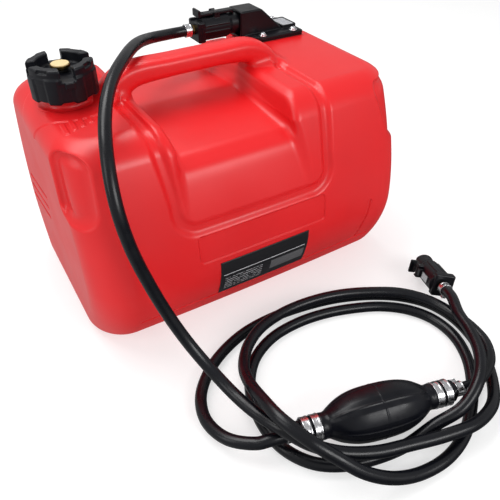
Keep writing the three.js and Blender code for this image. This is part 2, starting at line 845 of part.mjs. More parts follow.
const notchAngles = Array.from({ length: capNotches }, (_, k) => (
  THREE.MathUtils.degToRad(capNotchTurn) + (k / capNotches) * 2 * Math.PI));
const notch = (angle) => solid(new THREE.BoxGeometry(capRadius + overrun, capNotchWidth, overrun)
  .translate((capRadius + overrun) / 2 + ventHead, 0, overrun / 2 + capFloor)
  .rotateZ(angle));
const tabReach = capRadius + capTabProud;
const capTab = solid(new THREE.BoxGeometry(tabReach / 2, capTabWidth, capTabHeight)
  .translate(tabReach - tabReach / 4, 0, capFloor - capTabHeight / 2)
  .rotateZ(notchAngles[capNotches - 1]));
const capSkirt = upright(fluted(capRadius, capFluteDepth, capFlutes), capBottom, capTop - capSkirtTop);
const capRim = spun([
  [0, capUnder], [capRimOuter, capUnder], [capRimOuter, capTop - capRimBevel],
  [capRimOuter - capRimBevel, capTop], [0, capTop],
], capSides);
piece('cap_shell', cut(
  join(capSkirt, capRim, capTab),
  rod(capBore, capBottom - overrun, capUnder, capSides),
  rod(capRimInner, capFloor, capTop + overrun, capSides),
  rod(ventBore, capUnder - overrun, capTop, ventSides),
  ...notchAngles.map(notch),
).add(solid(threadRidge(capBore, -1, threadLow + threadPitch / 2))), blackPlastic, capGroup);
piece('cap_seal', ring(
  neckRadius - neckWall, neckRadius, sealBottom, sealTop, neckSides,
), blackRubber, capGroup);

// Vent screw, its ring and the disc set in its head
const ringBottom = capFloor + seatGap;
const shoulder = ringBottom + ventRingThickness + seatGap;
const headBottom = shoulder + ventShoulderHeight;
const headTop = headBottom + ventHeadHeight;
piece('vent_ring', ring(
  ventBore, ventShoulder, ringBottom, ringBottom + ventRingThickness, ventSides,
), blackRubber, capGroup);
piece('vent_screw', spun([
  [0, headBottom - ventShankLength], [ventShank, headBottom - ventShankLength],
  [ventShank, shoulder], [ventShoulder, shoulder], [ventShoulder, headBottom],
  [ventHead, headBottom], [ventHead, headTop], [ventDiscRadius + seatGap, headTop],
  [ventDiscRadius + seatGap, headTop - ventDiscSink], [0, headTop - ventDiscSink],
], ventSides), brass, capGroup);
const discBottom = headTop - ventDiscSink + seatGap;
piece('vent_disc', rod(ventDiscRadius, discBottom, discBottom + ventDiscThickness, ventSides),
  creamPlastic, capGroup);

// Withdrawal fitting: seal, plate with hood and gauge frame, four screws
const legHoles = [
  upHole(legX, plateMiddleY, legHoleRadius, tankHeight),
  upHole(gaugeX, plateMiddleY, gaugeHoleRadius, tankHeight),
];
piece('fitting_seal', cut(
  upright(plateOutline(-plateSealInset), plateSealBottom, plateSealBottom + plateSealThickness),
  ...screwHoles(tankHeight), ...legHoles,
), blackRubber);

const hoodTop = plateTop + hoodHeight;
const hood = along([
  [hoodLeft, plateTop], [hoodLeft + hoodOverhang, plateBottom + plateThickness / 2],
  [hoodLeft + hoodLength, plateTop - plateThickness / 2], [hoodLeft + hoodLength, plateTop + hoodToe],
  [hoodLeft + hoodTopLength, hoodTop], [hoodLeft, hoodTop],
], plateMiddleY - hoodWidth / 2, plateMiddleY + hoodWidth / 2);
const hoodSpace = block(
  [hoodLeft - overrun, plateMiddleY - hoodWidth / 2 + hoodWall, plateTop],
  [hoodBack + seatGap, plateMiddleY + hoodWidth / 2 - hoodWall, hoodTop - hoodWall],
);
const windowX = gaugeX + gaugeWindowShift;
const gaugeBox = (margin, low, high) => block(
  [windowX - gaugeLength / 2 - margin, plateMiddleY - gaugeWidth / 2 - margin, low],
  [windowX + gaugeLength / 2 + margin, plateMiddleY + gaugeWidth / 2 + margin, high],
);
piece('fitting_base', cut(
  join(
    upright(plateOutline(0), plateBottom, plateTop), hood,
    gaugeBox(gaugeFrame, plateBottom + plateThickness / 2, plateTop + gaugeFrameHeight),
  ),
  hoodSpace,
  gaugeBox(0, plateTop, plateTop + overrun),
  ...screwHoles(tankHeight),
  upHole(legX, plateMiddleY, legRadius + seatGap, tankHeight)
    .intersect(block([hoodLeft, plateFront, tankHeight], [hoodBack, plateMiddleY + plateWidth, axisZ])),
), blackPlastic);

screwPlaces.forEach(([x, y], n) => {
  const washer = plateTop + seatGap;
  const head = washer + screwWasherThickness;
  const body = spun([
    [0, plateTop - screwLength + screwWasherThickness],
    [screwRadius, plateTop - screwLength + screwWasherThickness],
    [screwRadius, washer], [screwWasherRadius, washer], [screwWasherRadius, head],
    [screwHeadRadius, head], [screwHeadRadius, head + screwHeadHeight - screwHeadBevel],
    [screwHeadRadius - screwHeadBevel, head + screwHeadHeight], [0, head + screwHeadHeight],
  ], screwHeadSides);
  const slot = rod(screwRecess, head + screwHeadHeight / 2, head + overrun, screwSides);
  piece(`fitting_screw_${n + 1}`, body.subtract(slot), steel).position.set(x, y, 0);
});

// Nipple: a level spigot for the connector and a leg down into the tank
function level(profile, sides, x, y, z) {
  return solid(turned(profile, sides).rotateY(Math.PI / 2).translate(x, y, z));
}

const legBottom = tankHeight - legDrop;
const stemTip = seatX + seatLength + poppetReach;
const spigotTip = connectorX + stemTip - poppetPressed + seatGap;
const spigot = level([
  [0, spigotTip], [nippleRadius - nippleTip, spigotTip], [nippleRadius, spigotTip + nippleTip],
  [nippleRadius, hoodBack - nippleFlangeThickness], [nippleFlange, hoodBack - nippleFlangeThickness],
  [nippleFlange, hoodBack], [0, hoodBack],
], nippleSides, 0, plateMiddleY, axisZ);
const leg = solid(turned([
  [0, legBottom - legBarbLength], [legBarb, legBottom - legBarbLength], [legBarb, legBottom],
  [legRadius, legBottom], [legRadius, axisZ], [0, axisZ],
], nippleSides).translate(legX, plateMiddleY, 0));
piece('tank_nipple', cut(
  spigot.add(leg),
  level([[0, spigotTip - overrun], [nippleBore, spigotTip - overrun], [nippleBore, legX], [0, legX]],
    nippleSides, 0, plateMiddleY, axisZ),
  solid(turned([
    [0, legBottom - legBarbLength - overrun], [legBore, legBottom - legBarbLength - overrun],
    [legBore, axisZ], [0, axisZ],
  ], nippleSides).translate(legX, plateMiddleY, 0)),
), brass);

const tubeTop = legBottom - seatGap;
const tubeBottom = wall + tubeLift;
const tubeGroup = new THREE.Group();
tubeGroup.position.set(legX, plateMiddleY, 0);
fuelTank.add(tubeGroup);
piece('pickup_tube', ring(tubeBore, tubeRadius, tubeBottom, tubeTop, nippleSides), blackPlastic, tubeGroup);
const strainerOuter = tubeRadius + seatGap + strainerWall;
const strainerBottom = wall + strainerLift;
piece('pickup_strainer', spun([
  [0, strainerBottom], [strainerOuter, strainerBottom], [strainerOuter, strainerBottom + strainerHeight],
  [tubeRadius + seatGap, strainerBottom + strainerHeight],
  [tubeRadius + seatGap, strainerBottom + strainerWall], [0, strainerBottom + strainerWall],
], nippleSides), strainerGrey, tubeGroup);

// Gauge: guide and float in the tank, dial, needle and lens in the frame
const gaugeGroup = new THREE.Group();
gaugeGroup.position.set(gaugeX, plateMiddleY, 0);
fuelTank.add(gaugeGroup);
const guideTop = plateBottom - seatGap;
const guideBottom = wall + guideLift;
const footTop = guideBottom + guideFootThickness;
piece('gauge_guide', spun([
  [0, guideBottom], [guideFoot, guideBottom], [guideFoot, footTop], [guideRadius, footTop],
  [guideRadius, guideTop - guideHeadThickness], [guideHead, guideTop - guideHeadThickness],
  [guideHead, guideTop], [0, guideTop],
], guideSides), brass, gaugeGroup);
const floatBottom = footTop + seatGap;
piece('gauge_float', ring(
  guideRadius + slideGap, floatRadius, floatBottom, floatBottom + floatHeight, holeSides,
), blackRubber, gaugeGroup);
const dialBottom = plateTop + seatGap;
const pointerBottom = dialBottom + dialThickness + seatGap;
const lensBottom = pointerBottom + pointerThickness + seatGap;
piece('gauge_dial', gaugeBox(-seatGap, dialBottom, dialBottom + dialThickness), dialWhite);
piece('gauge_lens', gaugeBox(-seatGap, lensBottom, lensBottom + lensThickness), clearPlastic);
const hub = rod(pointerHub, pointerBottom, pointerBottom + pointerThickness, guideSides);
const needle = block(
  [0, -pointerWidth / 2, pointerBottom],
  [pointerLength, pointerWidth / 2, pointerBottom + pointerThickness],
);
const pointer = piece('gauge_pointer', hub.add(needle), needleRed, gaugeGroup);
pointer.rotation.z = THREE.MathUtils.degToRad(pointerRest);
pointer.position.x = pointerShift;

// Quick connector along +X: hose end at x = 0, mouth at its far end, lever on top
const earIn = leverWidth / 2 + seatGap;
const earOut = earIn + earThickness;

function connector(prefix, place, lever, pressed) {
  const front = connectorLength - noseLength;
  const barrel = level([
    [0, rearLength / 2], [barrelRadius, rearLength / 2], [barrelRadius, front - ribInset],
    [noseRadius, front],
    [noseRadius, connectorLength], [0, connectorLength],
  ], connectorSides, 0, 0, 0);
  const rear = block(
    [0, -rearWidth / 2, -barrelRadius], [rearLength, rearWidth / 2, rearTop]);
  const ribs = Array.from({ length: ribCount }, (_, k) => {
    const angle = ribSpreadShare * 2 * Math.PI * ((k + 0.5) / ribCount - 0.5);
    return solid(new THREE.BoxGeometry(front - ribInset - rearLength, ribWidth, barrelRadius)
      .translate((front - ribInset + rearLength) / 2, 0, -barrelRadius / 2 - ribHeight)
      .rotateX(angle));
  });
  const way = lever.way;
  const tabEnd = lever.pivot + way * lever.rear;
  const hookEnd = lever.pivot - way * lever.front;
  const span = (from, to, half, low, high) => block(
    [Math.min(from, to), -half, low], [Math.max(from, to), half, high]);
  const ear = (side) => block(
    [lever.pivot - earLength / 2, Math.min(side * earIn, side * earOut), rearTop / 2],
    [lever.pivot + earLength / 2, Math.max(side * earIn, side * earOut), leverHeight + leverHubRadius],
  );
  const crossRod = (radius, half) => solid(new THREE.CylinderGeometry(
    radius, radius, 2 * half, pinSides).translate(lever.pivot, 0, leverHeight));
  const hookLow = leverHeight - leverThickness / 2 - leverHook;
  const travel = lever.rear * Math.sin(THREE.MathUtils.degToRad(leverSwing)) + slideGap;
  const reliefLow = leverHeight - leverThickness / 2 - travel;
  const tabInner = tabEnd - way * (leverTabThickness + leverThickness / 2);
  const relief = span(lever.pivot + way * leverHubRadius, tabEnd + way * overrun,
    leverWidth / 2 + slideGap, reliefLow, overrun);
  const tabRelief = span(tabInner, tabEnd + way * overrun, leverTabWidth / 2 + slideGap, reliefLow, overrun);
  const hubRelief = span(lever.pivot - leverHubRadius - slideGap, lever.pivot + leverHubRadius + slideGap,
    leverWidth / 2 + seatGap, leverHeight - leverHubRadius - slideGap, overrun);
  const hookSwing = (leverHeight - hookLow) * Math.sin(THREE.MathUtils.degToRad(leverSwing));
  const hookSlot = span(hookEnd - way * (hookSwing + slideGap), hookEnd + way * (leverHook + slideGap),
    leverWidth / 2 + slideGap, hookLow - slideGap, overrun);
  const channel = level([
    [0, -overrun], [tailBore, -overrun], [tailBore, seatX - chamberLength],
    [chamberRadius, seatX - chamberLength], [chamberRadius, seatX], [seatRadius, seatX],
    [seatRadius, seatX + seatLength], [socketRadius, seatX + seatLength],
    [socketRadius, connectorLength + overrun], [0, connectorLength + overrun],
  ], connectorSides, 0, 0, 0);
  piece(`${prefix}_body`, cut(
    cut(join(barrel, rear, ...ribs), relief, tabRelief, hubRelief, hookSlot).add(ear(1)).add(ear(-1)),
    channel, crossRod(pinRadius + seatGap, earOut + overrun),
  ), blackPlastic, place);

  const bar = span(tabEnd, hookEnd, leverWidth / 2, leverHeight - leverThickness / 2,
    leverHeight + leverThickness / 2);
  const hook = span(hookEnd, hookEnd + way * leverHook, leverWidth / 2, hookLow, leverHeight);
  const tab = span(tabEnd, tabEnd - way * leverTabThickness, leverTabWidth / 2,
    leverHeight - leverThickness / 2, leverHeight + leverTab);
  piece(`${prefix}_lever`, cut(
    join(bar, hook, tab, crossRod(leverHubRadius, leverWidth / 2)),
    crossRod(pinRadius + seatGap, earOut),
  ), blackPlastic, place);
  piece(`${prefix}_pin`, crossRod(pinRadius, earOut), steel, place);

  const headFront = seatX - seatGap - pressed;
  const tip = stemTip - pressed;
  piece(`${prefix}_poppet`, level([
    [0, headFront - poppetThickness], [poppetRadius, headFront - poppetThickness],
    [poppetRadius, headFront], [poppetStem, headFront], [poppetStem, tip], [0, tip],
  ], pinSides, 0, 0, 0), brass, place);
  piece(`${prefix}_ring`, solid(new THREE.TorusGeometry(
    (socketRadius + nippleRadius) / 2, (socketRadius - nippleRadius) / 2 - seatGap,
    ringSides, oringSides,
  ).rotateY(Math.PI / 2).translate(connectorLength - oringInset, 0, 0)), blackRubber, place);

  const collarEnd = -seatGap - barbCollarLength;
  piece(`${prefix}_barb`, level([
    [barbBore, collarEnd - barbTailLength], [barbTail, collarEnd - barbTailLength],
    [barbTail, collarEnd], [barbCollar, collarEnd], [barbCollar, -seatGap],
    [barbPlug, -seatGap], [barbPlug, seatX - chamberLength - seatGap],
    [barbBore, seatX - chamberLength - seatGap], [barbBore, collarEnd - barbTailLength],
  ], pinSides, 0, 0, 0), brass, place);
}

const fixedPlace = new THREE.Group();
fixedPlace.position.set(connectorX, plateMiddleY, axisZ);
fuelTank.add(fixedPlace);
connector('connector_a', fixedPlace, {
  pivot: leverPivot, front: leverFront, rear: leverRear, way: -1,
}, poppetPressed);

const loosePlace = new THREE.Group();
loosePlace.position.set(looseX, looseY, looseZ);
loosePlace.rotation.set(...[looseRoll, loosePitch, looseTurn].map(THREE.MathUtils.degToRad), 'ZYX');
fuelTank.add(loosePlace);
connector('connector_b', loosePlace, {
  pivot: looseLeverPivot, front: looseLeverFront, rear: looseLeverRear, way: 1,
}, 0);
const stripBottom = barrelRadius + seatGap;
piece('connector_b_spring', block(
  [stripStart, -stripWidth / 2, stripBottom],
  [stripStart + stripLength, stripWidth / 2, stripBottom + stripThickness],
), steel, loosePlace);

// Primer bulb along +X with a plug, a valve and two bands at each end
const bulbPlace = new THREE.Group();
bulbPlace.position.set(bulbX, bulbY, bulbRadius + seatGap);
bulbPlace.rotation.z = THREE.MathUtils.degToRad(bulbTurn);
fuelTank.add(bulbPlace);
const bulbEnd = bulbLength / 2;
const neckEnd = bulbEnd + bulbNeckLength;
const bulbOuter = bulbShares.map(([x, r]) => [r * bulbRadius, x * bulbEnd]);
const bulbInner = bulbOuter.slice().reverse().map(([r, x]) => (
  [Math.max(r - bulbWall, bulbNeckBore), x]));
piece('bulb_body', level([
  [bulbNeckBore, -neckEnd], [bulbNeckRadius, -neckEnd], [bulbNeckRadius, -bulbEnd],
  ...bulbOuter, [bulbNeckRadius, bulbEnd], [bulbNeckRadius, neckEnd], [bulbNeckBore, neckEnd],
  ...bulbInner, [bulbNeckBore, -neckEnd],
], bulbSides, 0, 0, 0), blackRubber, bulbPlace);

const plugIn = neckEnd - plugLength;
const collarIn = neckEnd + seatGap;
const collarOut = collarIn + bulbCollarLength;
const bulbHoseEnd = collarOut + seatGap;
[['bulb_inlet', -1], ['bulb_outlet', 1]].forEach(([name, way]) => {
  const at = (profile) => profile.map(([r, x]) => [r, way * x]);
  piece(`${name}_fitting`, level(at([
    [barbBore, plugIn], [bulbNeckBore - seatGap, plugIn], [bulbNeckBore - seatGap, collarIn],
    [bulbCollar, collarIn], [bulbCollar, collarOut], [barbTail, collarOut],
    [barbTail, collarOut + barbTailLength], [barbBore, collarOut + barbTailLength],
    [barbBore, plugIn],
  ]), pinSides, 0, 0, 0), blackPlastic, bulbPlace);
  const flap = plugIn - seatGap - valveThickness;
  piece(`${name}_valve`, level(at([
    [0, flap], [valveRadius, flap], [valveRadius, flap + valveThickness], [0, flap + valveThickness],
  ]), pinSides, 0, 0, 0), blackRubber, bulbPlace);
  [0, 1].forEach((n) => {
    const outer = neckEnd - neckClampInset - n * (neckClampWidth + neckClampGap);
    const inside = bulbNeckRadius + seatGap;
    const outside = inside + clampThickness;
    piece(`${name}_band_${n + 1}`, level(at([
      [inside, outer - neckClampWidth], [outside, outer - neckClampWidth],
      [outside, outer], [inside, outer], [inside, outer - neckClampWidth],
    ]), clampSides, 0, 0, 0), steel, bulbPlace);
  });
});

// Hose clamp round the hose end, with the housing of its screw on one side
function hoseClamp(name, place, end, way) {
  const inside = hoseRadius + seatGap;
  const outside = inside + clampThickness;
  const near = end + way * clampInset;
  const far = near + way * clampWidth;
  const [low, high] = [Math.min(near, far), Math.max(near, far)];
  const band = level([
    [inside, low], [outside, low], [outside, high], [inside, high], [inside, low],
  ], clampSides, 0, 0, 0);
  const middle = (low + high) / 2;
  const housing = block(
    [middle - clampEarWidth / 2, inside + clampThickness / 2, -clampEarLength / 2],
    [middle + clampEarWidth / 2, outside + clampEarHeight, clampEarLength / 2],
  );
  piece(name, band.add(housing), steel, place);
}

const connectorHoseEnd = -seatGap - barbCollarLength - seatGap;
hoseClamp('hose_clamp_a', fixedPlace, connectorHoseEnd, -1);
hoseClamp('hose_clamp_b', bulbPlace, -bulbHoseEnd, -1);
hoseClamp('hose_clamp_c', bulbPlace, bulbHoseEnd, 1);
hoseClamp('hose_clamp_d', loosePlace, connectorHoseEnd, -1);

// Hose: a tube along one smooth curve, bored at both ends for the barbs
fuelTank.updateMatrixWorld(true);
const spot = (place, x) => place.localToWorld(new THREE.Vector3(x, 0, 0));

function hoseCurve(start, startWay, route, end, endWay) {
  const [startPlace, startX] = start;
  const [endPlace, endX] = end;
  const points = [
    spot(startPlace, startX), spot(startPlace, startX + startWay * hoseStep),
    ...route.map(([x, y, z]) => new THREE.Vector3(x, y, z)),
    spot(endPlace, endX + endWay * hoseStep), spot(endPlace, endX),
  ];
  return new THREE.CatmullRomCurve3(points, false, 'centripetal');
}

function hose(name, curve, places) {
  const length = curve.getLength();
  const steps = Math.round(length / hoseStep);
  const section = new THREE.Shape(Array.from({ length: hoseSides }, (_, k) => {
    const angle = ((k + 0.5) / hoseSides) * 2 * Math.PI;
    return new THREE.Vector2(hoseRadius * Math.cos(angle), hoseRadius * Math.sin(angle));
  }));
  const tube = solid(new THREE.ExtrudeGeometry(section, { steps, extrudePath: curve, bevelEnabled: false }));
  const bores = places.map(([place, x, way]) => {
    const depth = barbTailLength + seatGap;
    const low = Math.min(x - way * depth, x + way * overrun);
    const high = Math.max(x - way * depth, x + way * overrun);
    const bore = turned([[0, low], [hoseBore, low], [hoseBore, high], [0, high]], pinSides)
      .rotateY(Math.PI / 2).applyMatrix4(place.matrixWorld);
    return solid(bore);
  });
  piece(name, cut(tube, ...bores), hoseRubber);
  return { name, length, points: curve.getSpacedPoints(steps * gapStepsPerTube) };
}

const hoseOne = hose('hose_1', hoseCurve(
  [fixedPlace, connectorHoseEnd], -1, hoseOneRoute, [bulbPlace, -bulbHoseEnd], -1,
), [[fixedPlace, connectorHoseEnd, 1], [bulbPlace, -bulbHoseEnd, 1]]);
const hoseTwo = hose('hose_2', hoseCurve(
  [bulbPlace, bulbHoseEnd], 1, hoseTwoRoute, [loosePlace, connectorHoseEnd], -1,
), [[bulbPlace, bulbHoseEnd, -1], [loosePlace, connectorHoseEnd, 1]]);

// Least gap between turns, measured on points of the centre line
function leastGap(first, second) {
  const near = Math.ceil((4 * hoseRadius) / (hoseStep / gapStepsPerTube));
  let least = Infinity;
  first.points.forEach((p, i) => second.points.forEach((q, j) => {
    if (first === second && Math.abs(i - j) <= near) return;
    least = Math.min(least, p.distanceTo(q));
  }));
  return least - 2 * hoseRadius;
}

[[hoseOne, hoseOne], [hoseTwo, hoseTwo], [hoseOne, hoseTwo]].forEach(([first, second]) => {
  console.log(`${first.name} ${first.length.toFixed(0)} mm, least gap to ${second.name} ${
    leastGap(first, second).toFixed(2)} mm`);
});

export default fuelTank;
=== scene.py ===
# Looks of a portable outboard fuel tank with its fuel line.
# Moulded pieces are fine skins over smooth distance fields, negative inside, worked in millimetres.
# Hoses are curves along their routes. The scene is in metres, +Z up, front face towards -Y.
import itertools
import json
import math

import bpy
import numpy as np
from mathutils import Matrix, Vector

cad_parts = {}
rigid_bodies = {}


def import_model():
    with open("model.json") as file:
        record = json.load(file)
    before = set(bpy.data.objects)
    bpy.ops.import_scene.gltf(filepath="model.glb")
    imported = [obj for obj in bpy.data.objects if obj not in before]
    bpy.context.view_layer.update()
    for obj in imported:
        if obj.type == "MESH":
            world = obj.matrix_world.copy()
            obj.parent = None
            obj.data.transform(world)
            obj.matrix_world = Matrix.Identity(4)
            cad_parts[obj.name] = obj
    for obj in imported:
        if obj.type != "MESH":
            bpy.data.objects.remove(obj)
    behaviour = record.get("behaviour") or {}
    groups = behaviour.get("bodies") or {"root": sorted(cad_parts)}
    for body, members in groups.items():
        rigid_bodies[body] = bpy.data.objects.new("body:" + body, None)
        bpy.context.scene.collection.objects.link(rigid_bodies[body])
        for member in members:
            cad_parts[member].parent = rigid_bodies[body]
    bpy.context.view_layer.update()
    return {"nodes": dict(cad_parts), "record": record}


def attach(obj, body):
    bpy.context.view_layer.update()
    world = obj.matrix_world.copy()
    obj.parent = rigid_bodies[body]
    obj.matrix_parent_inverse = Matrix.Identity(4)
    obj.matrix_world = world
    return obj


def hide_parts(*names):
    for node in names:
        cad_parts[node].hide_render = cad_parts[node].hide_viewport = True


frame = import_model()
scene = bpy.context.scene
MM = 0.001
FAR, OPEN = 1000.0, 40.0
SEAT_GAP, AXIS = 0.3, 0.01

# Finest cell of each skin, and how much coarser it is in a trial
TANK_CELL, BULB_CELL, MOULDING_CELL, SMALL_CELL = 1.2, 0.7, 0.5, 0.3
CELL_SCALE = 1.0

# Tank shell
TANK_LENGTH, DECK_LENGTH, TANK_HEIGHT = 360.0, 352.0, 216.0
BELLY_HEIGHT, BASE_WIDTH, BELLY_WIDTH, DECK_WIDTH = 80.0, 204.0, 268.0, 196.0
BULGE_POWER, SIDE_BOW = 1.8, 2.0
TOP_ROUND, BOTTOM_ROUND, CORNER_ROUND = 20.0, 19.0, 38.0

# Hand scoop: floor heights from the middle out, then half lengths by height
SCOOP_MIDDLE = -19.5
SCOOP_FLOOR = [(0, 196), (92, 187), (107, 178), (127, 137), (150, 90)]
SCOOP_HALF = [(137, 69), (178, 63.5), (196, 59.5), (212, 63), (216, 67)]
SCOOP_SOFTNESS, SCOOP_FILLET, SCOOP_EDGE = 16.0, 9.0, 7.0

# Framing groove, corner pockets, panel and small marks
BIB_MIDDLE, BIB_DECK_LENGTH, BIB_FACE_LENGTH = -10.5, 185.0, 174.0
BIB_DEPTH, BIB_WAIST_DEPTH, BIB_CORNER = 92.0, 56.0, 25.0
GROOVE_WIDTH, GROOVE_DEPTH = 10.0, 4.0
POCKET_DEPTH, POCKET_TOP_DEPTH, POCKET_HEIGHT, POCKET_SIDE_REACH = 6.5, 7.5, 59.0, 72.0
POCKET_LEFT_TOP, POCKET_LEFT_LOW, POCKET_RIGHT_TOP, POCKET_RIGHT_LOW = 27.0, 21.0, 42.0, 23.0
POCKET_ROUND, POCKET_LOW_ROUND, POCKET_RIGHT_DEPTH, POCKET_BACK_REACH = 10.0, 18.0, 3.5, 37.0
PANEL_MIDDLE, PANEL_LENGTH, PANEL_BOTTOM, PANEL_HEIGHT = -6.0, 144.0, 92.0, 29.0
PANEL_DEPTH, PANEL_ROUND = 1.2, 4.0
MARK_INSET, MARK_LEAN, MARK_BOTTOM, MARK_HEIGHT, MARK_WIDTH, MARK_DEPTH = 55.0, 8.0, 42.0, 50.0, 3.0, 1.2
BAR_COUNT, BAR_PITCH, BAR_WIDTH, BAR_LENGTH, BAR_LEAN = 3, 14.5, 4.5, 70.0, 10.5
BAR_TOP, BAR_FRONT, BAR_SHIFT, BAR_DEPTH = 121.0, 8.0, 4.5, 1.6
TICK_COUNT, TICK_PITCH, TICK_STEP, TICK_LENGTH, TICK_WIDTH, TICK_LEAN = 4, 8.0, 3.6, 17.2, 3.8, 1.0
TICK_X, TICK_Y, TICK_HEIGHT = -144.0, -45.0, 0.8
PAD_RADIUS, PAD_HEIGHT = 44.0, 0.8
SEAM_HEIGHT, SEAM_WIDTH, SEAM_DEPTH = 38.5, 3.0, 0.9

# Carry handle
HANDLE_MIDDLE, HANDLE_SPAN, HANDLE_RISE = -13.0, 190.0, 15.0
HANDLE_WIDTH, HANDLE_THICKNESS = 28.0, 20.0
HANDLE_ROUTE = [
    (-0.5, -0.9), (-0.465, -0.13), (-0.415, 0.57), (-0.335, 1), (-0.12, 1.05),
    (0.14, 1.07), (0.33, 1.03), (0.41, 0.6), (0.46, -0.1), (0.5, -0.85),
]
HANDLE_DROPS = [1.1, 1.3, 1.6, 1.3, 1, 1, 1.3, 1.6, 1.3, 1.1]
HANDLE_FLARES = [1.25, 1.15, 1.05, 1, 1, 1, 1, 1.05, 1.15, 1.25]
HANDLE_POWER, HANDLE_ROOT = 2.8, 9.0

# Filler neck, cap and vent
NECK_X, NECK_Y, NECK_RADIUS, NECK_WALL, NECK_TOP = -137.0, 4.0, 21.5, 2.6, 237.9
NECK_FLARE, NECK_SINK = 6.0, 3.0
THREAD_PITCH, THREAD_DEPTH, THREAD_LOW, THREAD_HALF = 6.0, 1.3, 225.9, 1.6
CAP_RADIUS, CAP_BOTTOM, CAP_UNDER, CAP_FLOOR, CAP_TOP = 30.0, 224.0, 240.5, 244.0, 254.0
CAP_SHOULDER, CAP_RIM_OUTER, CAP_RIM_INNER, CAP_BORE = 246.0, 28.6, 20.0, 23.7
CAP_FLUTES, CAP_FLUTE_DEPTH, CAP_NOTCHES, CAP_NOTCH_WIDTH, CAP_NOTCH_TURN = 8, 1.1, 4, 12.0, -3.0
CAP_FLUTE_TURN, CAP_FLUTE_RISE, CAP_DENT_WIDTH, CAP_DENT_REACH, CAP_DENT_DEPTH = 4.81, 1.4, 10.0, 2.4, 3.4
CAP_TAB_WIDTH, CAP_TAB_HEIGHT, CAP_TAB_REACH = 8.0, 6.0, 31.4
VENT_SHANK, VENT_BORE, VENT_SHOULDER, VENT_HEAD, VENT_DISC = 3.6, 4.0, 6.0, 8.8, 7.8
VENT_TIP, VENT_SEAT, VENT_HEAD_LOW, VENT_HEAD_TOP, VENT_DISC_TOP = 235.6, 246.0, 247.6, 250.2, 250.8

# Withdrawal fitting
PLATE_LEFT, PLATE_FRONT, PLATE_LENGTH, PLATE_WIDTH = 80.0, 41.5, 72.0, 55.0
PLATE_BOTTOM, PLATE_TOP, PLATE_CUT_X, PLATE_CUT_Y = 218.1, 222.1, 16.0, 12.0
PLATE_STEP, PLATE_STEP_INSET, SEAT_MARGIN = 0.7, 2.2, 1.5
FITTING_Y, HOOD_LEFT, HOOD_LENGTH, HOOD_TOP_LENGTH, HOOD_TOP = 69.0, 76.0, 55.0, 27.0, 248.7
HOOD_WIDTH, HOOD_WALL, HOOD_BACK, HOOD_TOE = 28.0, 2.2, 100.8, 224.1
WINDOW_X, WINDOW_LENGTH, WINDOW_WIDTH, WINDOW_FRAME, WINDOW_TOP = 141.0, 16.0, 26.0, 1.6, 226.3
SCREW_PLACES, SCREW_SEAT = [(99.5, 46.5), (140.5, 46.5), (140.5, 91.5), (99.5, 91.5)], 222.4
WASHER_RADIUS, WASHER_HEIGHT, DOME_RADIUS, DOME_SINK, HEAD_RADIUS = 4.8, 0.9, 4.8, 1.1, 3.4
CROSS_WIDTH, CROSS_LENGTH, CROSS_FLOOR = 1.1, 4.2, 2.2

# Quick connector, hose end at x = 0
CONNECTOR_LENGTH, BARREL_RADIUS, NOSE_RADIUS, NOSE_LENGTH = 59.0, 12.4, 11.0, 16.0
REAR_LENGTH, REAR_WIDTH, REAR_TOP = 9.0, 25.0, 9.5
RIB_COUNT, RIB_SPREAD_SHARE, RIB_HEIGHT, RIB_WIDTH, RIB_INSET = 8, 0.72, 0.7, 1.8, 4.0
SOCKET_RADIUS, SOCKET_DEPTH, SEAT_RADIUS, CHAMBER_END = 7.5, 28.0, 3.2, 12.0
LEVER_HEIGHT, LEVER_WIDTH, LEVER_THICKNESS, LEVER_SWING, LEVER_PLAY = 14.2, 9.0, 3.0, 12.0, 0.4
GRIP_INSET, GRIP_PITCH, GRIP_WIDTH, GRIP_LENGTH, GRIP_HEIGHT = 6.5, 1.25, 0.6, 6.0, 0.4
LEVER_TAB, LEVER_TAB_WIDTH, LEVER_HOOK, LEVER_HUB, EAR_THICKNESS, EAR_LENGTH = 6.0, 15.0, 2.0, 2.6, 2.5, 7.0
PIN_RADIUS = 1.2
# Each lever's pivot, its reach to the hook and to the tab, and the way that the tab points
LEVER_A, LEVER_B = (26.0, 22.0, 23.0, -1), (36.0, 8.0, 13.0, 1)

# Hose, clamps and bulb
HOSE_RADIUS, CLAMP_WIDTH, CLAMP_THICKNESS, CLAMP_EAR = 5.5, 7.0, 1.0, 5.0
CLAMP_ROLL, CLAMP_INSET = 0.25, 1.5
BULB_RADIUS, BULB_HALF, BULB_END_SHARE, BULB_POWER = 24.0, 46.0, 0.5, 2.8
BULB_NECK_RADIUS, BULB_NECK_END, BULB_COLLAR, BULB_COLLAR_END = 10.5, 70.0, 9.5, 74.3
BAND_WIDTH, BAND_GAP, BAND_INSET, BAND_GROOVE = 6.5, 2.4, 1.2, 0.3
BULB_PANELS, BULB_RIDGE, BULB_RIDGE_WIDTH, BULB_FLAT, BULB_WAIST, BULB_LIP = 6, 0.55, 0.9, 0.3, 0.3, 0.9

# Label on the front face
LABEL_LOW, LABEL_HIGH, LABEL_GRID = (-58.0, 40.0), (45.0, 86.0), (60, 40)
LABEL_PROUD, LABEL_THICKNESS = 0.8, 0.6


def spin(degrees, axis):
    return Matrix.Rotation(math.radians(degrees), 4, axis)


def placing(x, y, z, turn=0.0, pitch=0.0, roll=0.0):
    """Matrix from a piece's own millimetres, turned by degrees, to the scene's metres."""
    turning = spin(turn, "Z") @ spin(pitch, "Y") @ spin(roll, "X")
    return Matrix.Scale(MM, 4) @ Matrix.Translation((x, y, z)) @ turning


